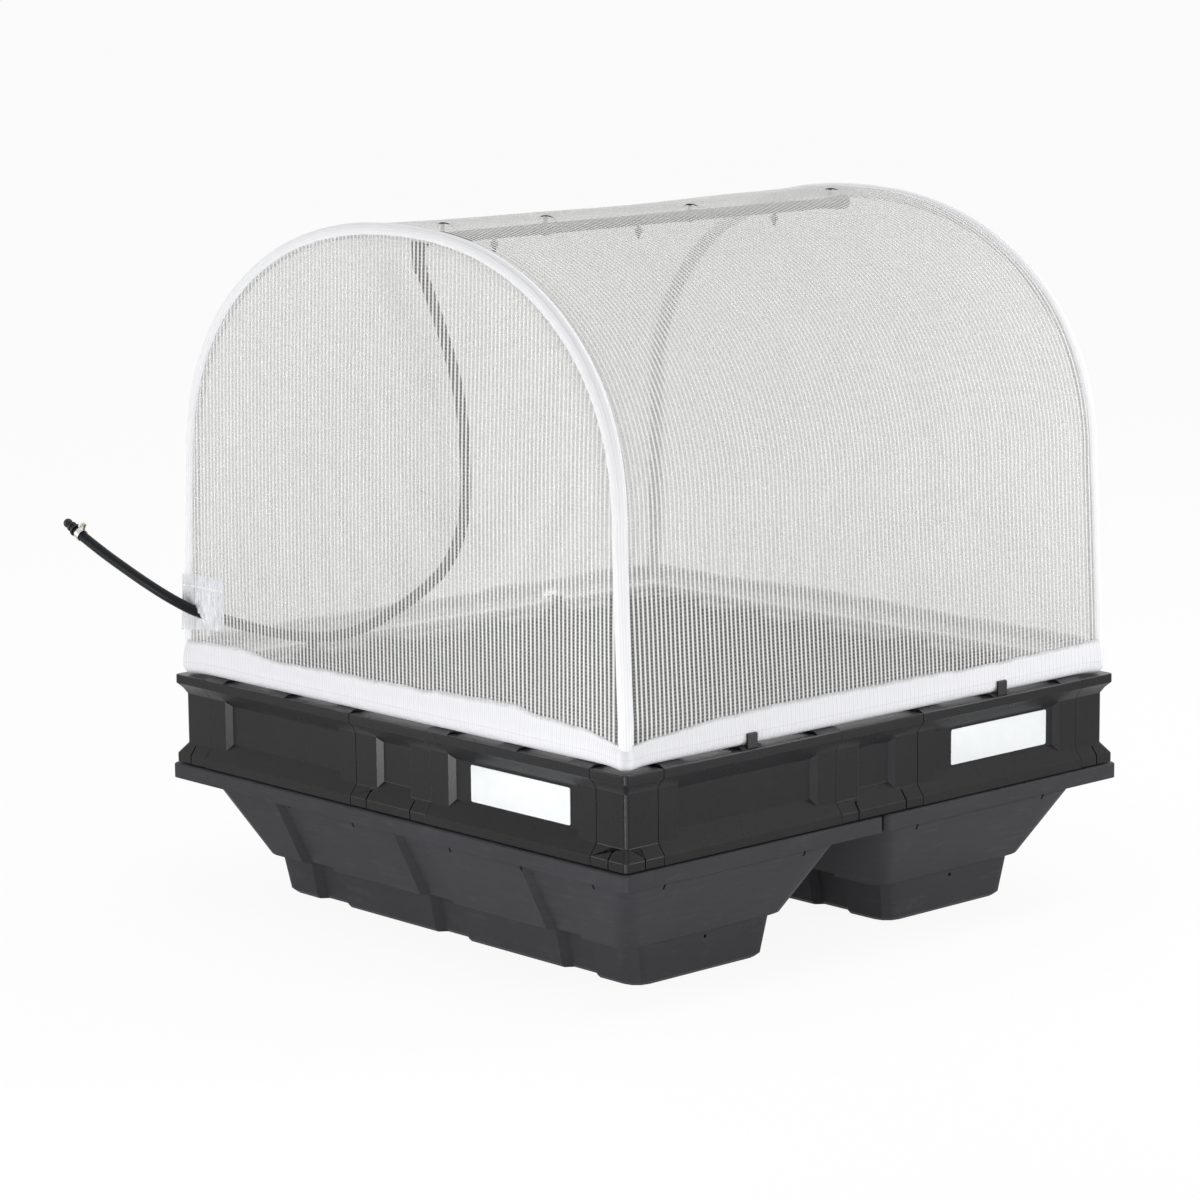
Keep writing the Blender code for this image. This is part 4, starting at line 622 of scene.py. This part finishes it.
WIRE_RADIUS = 0.0008
WIRE_PLACE = 0.006
WIRE_HALF = 0.018
WIRE_RISE = 0.0068
for number, tie in enumerate(TIE_PLACES):
    ridge_z = tunnel_point(0.5, 0.5 + 0.5 * tie / (hoop_plane(CROWN_Z) - EDGE_GAP))[0][2]
    wire_line = []
    for angle in range(-90, 91, 15):
        turn = math.radians(angle)
        wire_line.append((WIRE_PLACE + WIRE_HALF * math.sin(turn), tie,
                          ridge_z - 0.0040 + WIRE_RISE * math.cos(turn) - 0.0012 * math.sin(turn)))
    wire = tube_piece("ridge_wire_" + str(number + 1), wire_line, WIRE_RADIUS, 3)
    wire.data.materials.append(fitting_nylon)
    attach(wire, "cover")

END_INSET = 0.0045
END_BILLOW = 0.004
END_TUCK = 0.0040
BILLOW_HEIGHT = 0.64
HOSE_HOLE_GAP = 0.003
end_length, end_point = walker(half_arch(-END_INSET, NET_FOOT))


def end_net(name, node, side):
    """Flat end net of the tunnel, sewn in along the hoop's sleeve."""
    def net_point(across, along):
        edge = end_point(end_length * (1 - (1 - along) ** 1.6) * 0.9999)
        x = (2 * across - 1) * edge.x
        z = edge.y
        rise = min(max((z - NET_FOOT) / BILLOW_HEIGHT, 0.0), 1.0)
        hold = (1 - (2 * across - 1) ** 6) * math.sin(math.pi * rise) ** 0.5
        billow = END_BILLOW * hold * noise.noise(Vector((x * 3.7, side * 5.0, z * 3.7)))
        tuck = END_TUCK * max((abs(2 * across - 1) - 0.98) / 0.02, 0.0)
        y = side * (hoop_plane(z) + NET_OFFSET - tuck) + billow
        return (x, y, z), (x, z)

    bm = spread(160, 120, net_point)
    bmesh.ops.remove_doubles(bm, verts=bm.verts, dist=1e-5)
    if side < 0:
        near = [point for point in hose_line if abs(point.y + RAIL_PLACE + NET_OFFSET) < 0.02]
        hole = HOSE_RADIUS + HOSE_HOLE_GAP
        cut = [face for face in bm.faces
               if min((face.calc_center_median() - point).length for point in near) < hole]
        bmesh.ops.delete(bm, geom=cut, context="FACES")
    inner = bmesh.ops.duplicate(bm, geom=bm.verts[:] + bm.edges[:] + bm.faces[:])["geom"]
    inner_verts = [item for item in inner if isinstance(item, bmesh.types.BMVert)]
    inner_faces = [item for item in inner if isinstance(item, bmesh.types.BMFace)]
    bmesh.ops.translate(bm, verts=inner_verts, vec=(0.0, -side * NET_THICKNESS, 0.0))
    bmesh.ops.reverse_faces(bm, faces=inner_faces)
    piece = placed_piece(name, bm, net_white, smooth_angle=80.0)
    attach(piece, "cover")
    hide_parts(node)
    return piece


front_net = end_net("front_end_net", "front_net", -1)
back_net = end_net("back_end_net", "back_net", 1)

# Sleeves and hem: the same net folded round the hoops and rails and stitched, so it turns a fuller white.
# The ribs stand out as fine cords, and the hem is notched on the left for the two hinge clips.
STITCH_PITCH = 0.0024
DASH_PITCH = 0.0044


def folded_net(name, dark, light, share, seam_place=None, top_edge=None):
    """Folded net: corded and stitched, letting a share of the light through. It has a dashed seam at
    seam_place and thins out at top_edge where these are given."""
    material, tree = new_tree(name)
    uv = add(tree, "UVMap", uv_map="cloth")
    split = add(tree, "SeparateXYZ", {0: uv.outputs["UV"]})
    crease = add(tree, "TexNoise", {"Vector": uv.outputs["UV"], "Scale": 1 / 0.012, "Detail": 4.0})
    cord = add(tree, "Math", {0: split.outputs["X"], 1: RIB_PITCH / 4}, operation="PINGPONG")
    cord = add(tree, "MapRange", {"Value": cord.outputs[0], "From Max": RIB_PITCH / 4, "To Min": 1.0,
                                  "To Max": 0.0}, interpolation_type="SMOOTHSTEP")
    stitch = add(tree, "Math", {0: split.outputs["Y"], 1: STITCH_PITCH / 2}, operation="PINGPONG")
    stitch = add(tree, "MapRange", {"Value": stitch.outputs[0], "From Max": STITCH_PITCH / 2,
                                    "To Max": 0.25})
    height = add(tree, "Math", {0: cord.outputs["Result"], 1: stitch.outputs["Result"]}, operation="ADD")
    height = add(tree, "Math", {0: height.outputs[0], 1: crease.outputs["Fac"]}, operation="ADD")
    relief = add(tree, "Bump", {"Height": height.outputs[0], "Distance": 0.0005, "Strength": 0.6})
    tone = add(tree, "Mix", {"Factor": cord.outputs["Result"], "A": linear(dark), "B": linear(light)},
               data_type="RGBA")
    if seam_place is not None:
        off_seam = add(tree, "Math", {0: split.outputs["Y"], 1: seam_place}, operation="SUBTRACT")
        off_seam = add(tree, "Math", {0: off_seam.outputs[0]}, operation="ABSOLUTE")
        seam = add(tree, "MapRange", {"Value": off_seam.outputs[0], "From Min": 0.0004, "From Max": 0.0011,
                                      "To Min": 0.5, "To Max": 0.0}, interpolation_type="SMOOTHSTEP")
        dash = add(tree, "Math", {0: split.outputs["X"], 1: DASH_PITCH / 2}, operation="PINGPONG")
        dash = add(tree, "MapRange", {"Value": dash.outputs[0], "From Min": 0.0006, "From Max": 0.0010})
        seam = add(tree, "Math", {0: seam.outputs["Result"], 1: dash.outputs["Result"]},
                   operation="MULTIPLY")
        tone = add(tree, "Mix", {"Factor": seam.outputs[0], "A": tone.outputs["Result"],
                                 "B": linear("#c9c9ce")}, data_type="RGBA")
    yarn = add(tree, "BsdfDiffuse", {"Color": tone.outputs["Result"], "Normal": relief.outputs["Normal"]})
    through = add(tree, "BsdfTranslucent", {"Color": tone.outputs["Result"]})
    webbing = add(tree, "MixShader", {0: share, 1: yarn.outputs[0], 2: through.outputs[0]})
    if top_edge is not None:
        ragged = add(tree, "Math", {0: crease.outputs["Fac"], 1: 0.003}, operation="MULTIPLY")
        ragged = add(tree, "Math", {0: ragged.outputs[0], 1: split.outputs["Y"]}, operation="ADD")
        gaps = add(tree, "MapRange", {"Value": ragged.outputs[0], "From Min": top_edge - 0.004,
                                      "From Max": top_edge + 0.003, "To Max": 0.70},
                   interpolation_type="SMOOTHSTEP")
        gap = add(tree, "BsdfTransparent", {"Color": linear("#f7f7f6")})
        webbing = add(tree, "MixShader", {0: gaps.outputs["Result"], 1: webbing.outputs[0],
                                          2: gap.outputs[0]})
    add(tree, "OutputMaterial", {0: webbing.outputs[0]})
    return material


sleeve_white = folded_net("white_folded_net_sleeve", "#eeeef0", "#f7f7f9", 0.22)
SLEEVE_RADIUS = 0.0103
SLEEVE_FOOT = 0.3640
SLEEVE_LUMPS = 0.030
SLEEVE_FOLDS = 0.0003
SLEEVE_CORDS = 0.00025


def sleeve(name, node, side):
    """Sleeve of folded net round a hoop, down to the ledge outside the hem's corner."""
    length, at = walker(half_arch(0.0, SLEEVE_FOOT))

    def centre(distance):
        point = at(min(max(length - abs(distance), 0.0), length))
        return Vector((math.copysign(point.x, distance), side * hoop_plane(point.y), point.y))

    def sleeve_point(across, along):
        distance = (2 * along - 1) * length
        here = centre(distance)
        way = (centre(distance + 0.002) - centre(distance - 0.002)).normalized()
        side_way = Vector((0.0, side, 0.0))
        out = way.cross(side_way).normalized()
        angle = math.tau * across
        lump = noise.noise(here * 22.0 + Vector((math.cos(angle), 0, 0)))
        radius = SLEEVE_RADIUS * (1 + SLEEVE_LUMPS * lump)
        radius += SLEEVE_FOLDS * math.cos(3 * angle + 9.0 * distance) + SLEEVE_CORDS * math.cos(8 * angle)
        point = here + radius * (math.cos(angle) * side_way + math.sin(angle) * out)
        return point, (across * math.tau * SLEEVE_RADIUS, distance)

    bm = spread(24, 620, sleeve_point)
    bmesh.ops.remove_doubles(bm, verts=bm.verts, dist=1e-5)
    bmesh.ops.holes_fill(bm, edges=[edge for edge in bm.edges if edge.is_boundary])
    bmesh.ops.recalc_face_normals(bm, faces=bm.faces)
    piece = placed_piece(name, bm, sleeve_white, smooth_angle=60.0)
    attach(piece, "cover")
    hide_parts(node)
    return piece


front_sleeve = sleeve("front_hoop_sleeve", "front_sleeve", -1)
back_sleeve = sleeve("back_hoop_sleeve", "back_sleeve", 1)

HEM_RADIUS = 0.0125
HEM_TOP = 0.3800
HEM_CORNER = 0.004
SEAM_PLACE = 0.0460
HEM_RIB = 0.00035
HEM_SCALLOP = 0.0004
HEM_WAVE = 0.0010
CORNER_REACH = 0.045
CORNER_BULGE = 0.0030
CORNER_DROOP = 0.0034
SIDE_FROM = 0.46
CLIP_PLACE = 0.2534
CLIP_HALF = 0.015
CLIP_TOP = 0.3683

# Height of the hem's top over its plain line, at places along the front and along the right side.
FRONT_RISES = ((-0.4745, 0.008), (-0.36, 0.013), (-0.25, 0.004), (-0.13, 0.008), (0.04, 0.010),
               (0.15, 0.014), (0.26, 0.018), (0.32, 0.009), (0.40, 0.004), (0.4745, -0.008))
RIGHT_RISES = ((-0.4745, -0.008), (-0.42, -0.003), (-0.33, 0.005), (-0.20, 0.009), (0.0, 0.007),
               (0.20, 0.004), (0.4745, 0.006))


def on_table(table, place):
    """Height at a place of a table of (place, height) rows."""
    for (a, low), (b, high) in zip(table, table[1:]):
        if place <= b:
            t = min(max((place - a) / (b - a), 0.0), 1.0)
            return low + (high - low) * t * t * (3 - 2 * t)
    return table[-1][1]


def hem_section():
    """Line of the hem's outer face as (outward, up) from the rail axis: hooked edge, then the band."""
    points = [Vector((-HEM_RADIUS, 0.002))]
    for step in range(13):
        angle = math.radians(180.0 + 15.0 * step)
        points.append(Vector((HEM_RADIUS * math.cos(angle), HEM_RADIUS * math.sin(angle))))
    return points + [Vector((HEM_RADIUS, 0.0)), Vector((0.0122, 0.0120)), Vector((0.0108, 0.0210)),
                     Vector((0.0098, HEM_TOP - RAIL_Z))]


section_length, section_at = walker(hem_section())
hem_white = folded_net("white_folded_net_webbing", "#dddde1", "#e9e9ed", 0.18, seam_place=SEAM_PLACE,
                       top_edge=section_length)


def hem_corner_line():
    """Plan of the rail line as a square with rounded corners, starting in the middle of the right side."""
    half = RAIL_PLACE
    points = [Vector((half, 0.0))]
    for quarter in range(4):
        turned_by = Matrix.Rotation(math.pi / 2 * quarter, 2)
        for step in range(9):
            angle = math.pi / 2 * step / 8
            corner = Vector((half - HEM_CORNER, half - HEM_CORNER))
            points.append(turned_by @ (corner + HEM_CORNER * Vector((math.cos(angle), math.sin(angle)))))
    return points + [Vector((half, 0.0))]


plan_length, plan_at = walker(hem_corner_line())
RIBS = round(plan_length / RIB_PITCH)


def hem_point(across, along):
    """Point of the hem's outer face, ribbed, with its slightly wavy sewn edge."""
    distance = min(across, 0.999999) * plan_length
    here = plan_at(distance)
    ahead = plan_at((distance + 0.001) % plan_length)
    way = (ahead - here).normalized()
    out = Vector((way.y, -way.x))
    across_band = section_at(min(along, 0.999999) * section_length)
    rib = math.cos(math.tau * RIBS * across)
    edge = 1.0 - min(abs(across_band.y + HEM_RADIUS) / 0.010, 1.0)
    lift = max(across_band.y, 0.0) / (HEM_TOP - RAIL_Z)
    to_corner = math.hypot(RAIL_PLACE - abs(here.x), RAIL_PLACE - abs(here.y))
    near_corner = max(1 - to_corner / CORNER_REACH, 0.0) ** 2
    corner = near_corner * max(1 - ((across_band.y - 0.002) / 0.024) ** 2, 0.0)
    depth = across_band.x + rib * (1 - near_corner) * (HEM_RIB + HEM_SCALLOP * edge)
    depth += CORNER_BULGE * corner * (across_band.x > 0.0)
    depth += HEM_WAVE * lift * noise.noise(Vector((here.x * 18.0, here.y * 18.0, across_band.y * 30.0)))
    if here.x > SIDE_FROM:
        top = on_table(RIGHT_RISES, here.y)
    elif here.y < -SIDE_FROM:
        top = on_table(FRONT_RISES, here.x)
    else:
        top = 0.006 + 0.006 * noise.noise(Vector((here.x * 7.0, here.y * 7.0, 4.0)))
    top += 0.0022 * noise.noise(Vector((here.x * 26.0, here.y * 26.0, 0.0)))
    point = here + out * depth
    droop = CORNER_DROOP * near_corner * (across_band.x > 0.0) * (1 - lift)
    height = RAIL_Z + across_band.y + top * lift ** 1.5 - droop
    return (point.x, point.y, height), (distance, along * section_length)


bm = spread(RIBS * 4, 18, hem_point)
bmesh.ops.remove_doubles(bm, verts=bm.verts, dist=1e-5)
notches = []
for face in bm.faces:
    middle = face.calc_center_median()
    if middle.x < -0.44 and middle.z < CLIP_TOP and abs(abs(middle.y) - CLIP_PLACE) < CLIP_HALF:
        notches.append(face)
bmesh.ops.delete(bm, geom=notches, context="FACES")
hem = placed_piece("hem_webbing", bm, hem_white, smooth_angle=70.0)
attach(hem, "cover")
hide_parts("hem")

# Patch: clear soft PVC sheet, welded over the net and round the hoop's leg, with a slit for the hose.
# It is creased from handling. A narrow tab hangs from its foot, and its lower left corner curls outwards.
FLAP_MIDDLE = (0.038, 0.4350)
FLAP_SIZE = (0.028, 0.026)
WELD_Z = 0.4710

clear_vinyl, tree = new_tree("clear_soft_pvc")
uv = add(tree, "UVMap", uv_map="cloth")
split = add(tree, "SeparateXYZ", {0: uv.outputs["UV"]})
haze = add(tree, "TexNoise", {"Vector": uv.outputs["UV"], "Scale": 1 / 0.014, "Detail": 5.0,
                              "Distortion": 0.8})
upright = add(tree, "Mapping", {"Vector": uv.outputs["UV"], "Scale": (330.0, 36.0, 1.0)})
wrinkle = add(tree, "TexNoise", {"Vector": upright.outputs["Vector"], "Scale": 1.0, "Detail": 3.0,
                                 "Distortion": 0.5})
milky = add(tree, "MapRange", {"Value": haze.outputs["Fac"], "From Min": 0.35, "From Max": 0.70,
                               "To Min": 0.03, "To Max": 0.20})
right_of_slit = add(tree, "Math", {0: split.outputs["X"], 1: FLAP_MIDDLE[0]}, operation="SUBTRACT")
right_of_slit = add(tree, "Math", {0: right_of_slit.outputs[0], 1: FLAP_SIZE[0]}, operation="DIVIDE")
over_slit = add(tree, "Math", {0: split.outputs["Y"], 1: FLAP_MIDDLE[1]}, operation="SUBTRACT")
over_slit = add(tree, "Math", {0: over_slit.outputs[0], 1: FLAP_SIZE[1]}, operation="DIVIDE")
reach = add(tree, "CombineXYZ", {0: right_of_slit.outputs[0], 1: over_slit.outputs[0]})
reach = add(tree, "VectorMath", {0: reach.outputs[0]}, operation="LENGTH")
double = add(tree, "MapRange", {"Value": reach.outputs["Value"], "From Min": 0.40, "From Max": 1.05,
                                "To Min": 0.90, "To Max": 0.0}, interpolation_type="SMOOTHSTEP")
milky = add(tree, "Math", {0: milky.outputs["Result"], 1: double.outputs["Result"]}, operation="MAXIMUM")
weld = add(tree, "Math", {0: split.outputs["Y"], 1: WELD_Z}, operation="SUBTRACT")
weld = add(tree, "Math", {0: weld.outputs[0]}, operation="ABSOLUTE")
weld = add(tree, "MapRange", {"Value": weld.outputs[0], "From Min": 0.0008, "From Max": 0.0018,
                              "To Min": 0.45, "To Max": 0.0}, interpolation_type="SMOOTHSTEP")
milky = add(tree, "Math", {0: milky.outputs[0], 1: weld.outputs["Result"]}, operation="MAXIMUM")
# The pale upright streaks along the wrinkles are painted highlights on the sheet; the pale weld line is the
# sheet's own.
crease = add(tree, "MapRange", {"Value": wrinkle.outputs["Fac"], "From Min": 0.55, "From Max": 0.66})
weld_and_painted_streaks = add(tree, "Math", {0: crease.outputs["Result"], 1: weld.outputs["Result"]}, operation="MAXIMUM")
tone = add(tree, "Mix", {"Factor": weld_and_painted_streaks.outputs[0], "A": linear("#c9ccd0"), "B": linear("#f0f1f2")},
           data_type="RGBA")
waves = add(tree, "Math", {0: haze.outputs["Fac"], 1: wrinkle.outputs["Fac"]}, operation="ADD")
relief = add(tree, "Bump", {"Height": waves.outputs[0], "Distance": 0.0016, "Strength": 0.5})
gloss = add(tree, "BsdfPrincipled", {"Base Color": tone.outputs["Result"], "Roughness": 0.14,
                                     "Specular IOR Level": 0.30, "Normal": relief.outputs["Normal"]})
clear = add(tree, "BsdfTransparent", {"Color": linear("#f8f9f9")})
shine = add(tree, "Fresnel", {"IOR": 1.3, "Normal": relief.outputs["Normal"]})
body = add(tree, "Math", {0: milky.outputs[0], 1: shine.outputs[0]}, operation="ADD", use_clamp=True)
sheet = add(tree, "MixShader", {0: body.outputs[0], 1: clear.outputs[0], 2: gloss.outputs[0]})
add(tree, "OutputMaterial", {0: sheet.outputs[0]})

PATCH_FLAT = 0.0102
PATCH_WRAP = 0.0140
SLIT_PLACE = -0.4355
SLIT_Z = 0.4340
SLIT_LEAN = -0.654
FLAP_RADIUS = 0.0130
PATCH_FOOT = 0.4015
PATCH_HEAD = 0.4865
PATCH_RIGHT = 0.090
TAB_PLACE = 0.0357
TAB_HALF = 0.0028
TAB_DROP = 0.0090
CORNER_CURL = 0.0040
CREASE_DEPTH = 0.0010
PATCH_LIFT = 0.0006
FOOT_RISE = 0.0110
HEAD_RISE = 0.0030
SLIT_GAP = 0.0015


def leg_place(z):
    """Across place of the left leg of a hoop below the spring of the arch."""
    rise = max(z - STRAIGHT_TOP, 0.0)
    return -(RAIL_PLACE - (RAIL_PLACE - SPRING_HALF) * rise / (SPRING_Z - STRAIGHT_TOP))


patch_line = [Vector((PATCH_RIGHT, -PATCH_FLAT))]
for step in range(17):
    angle = math.radians(-90.0 + math.degrees(math.acos(PATCH_FLAT / PATCH_WRAP)) - 8.2 * step)
    patch_line.append(PATCH_WRAP * Vector((math.cos(angle), math.sin(angle))))
patch_width, patch_at = walker(patch_line)


def hose_middle(x):
    """Point of the hose's middle line at an across place near the patch."""
    for a, b in zip(hose_line, hose_line[1:]):
        if a.x >= x > b.x and a.z < PATCH_HEAD:
            return a.lerp(b, (a.x - x) / (a.x - b.x))
    return None


def patch_point(across, along):
    """Point of the clear patch, from its right edge round the leg, with soft creases, tab and curled corner.

    Right of the slanted slit the sheet lies over the hose."""
    flat = patch_at(min(across, 0.9999) * patch_width)
    rise = (flat.x + PATCH_WRAP) / (PATCH_RIGHT + PATCH_WRAP)
    foot = PATCH_FOOT + FOOT_RISE * rise
    head = PATCH_HEAD + HEAD_RISE * rise
    if abs(across * patch_width - TAB_PLACE) < TAB_HALF:
        foot -= TAB_DROP
    z = foot + (head - foot) * along
    way = Vector((flat.x, flat.y)).normalized() if flat.x < 0.01 else Vector((0.0, -1.0))
    crease = CREASE_DEPTH * noise.noise(Vector((flat.x * 90.0, flat.y * 90.0, z * 45.0)))
    curl = CORNER_CURL * max(1 - along / 0.09, 0.0) * max(1 - abs(flat.y + 0.004) / 0.008, 0.0)
    curl *= flat.x < 0.0
    point = flat + way * (PATCH_LIFT + crease + curl)
    x = leg_place(z) + point.x
    y = -hoop_plane(z) + point.y
    hose_point = hose_middle(x)
    if hose_point and x > SLIT_PLACE + SLIT_LEAN * (z - SLIT_Z) and abs(z - hose_point.z) < FLAP_RADIUS:
        y = min(y, hose_point.y - math.sqrt(FLAP_RADIUS ** 2 - (z - hose_point.z) ** 2))
    return (x, y, z), (across * patch_width, z)


bm = spread(60, 48, patch_point)
near = [point for point in hose_line if abs(point.y + RAIL_PLACE + PATCH_FLAT) < 0.02]
cut = [face for face in bm.faces
       if min((face.calc_center_median() - point).length for point in near) < HOSE_RADIUS + SLIT_GAP]
bmesh.ops.delete(bm, geom=cut, context="FACES")
patch = placed_piece("clear_hose_patch", bm, clear_vinyl, smooth_angle=180.0)
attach(patch, "cover")
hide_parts("hose_patch")
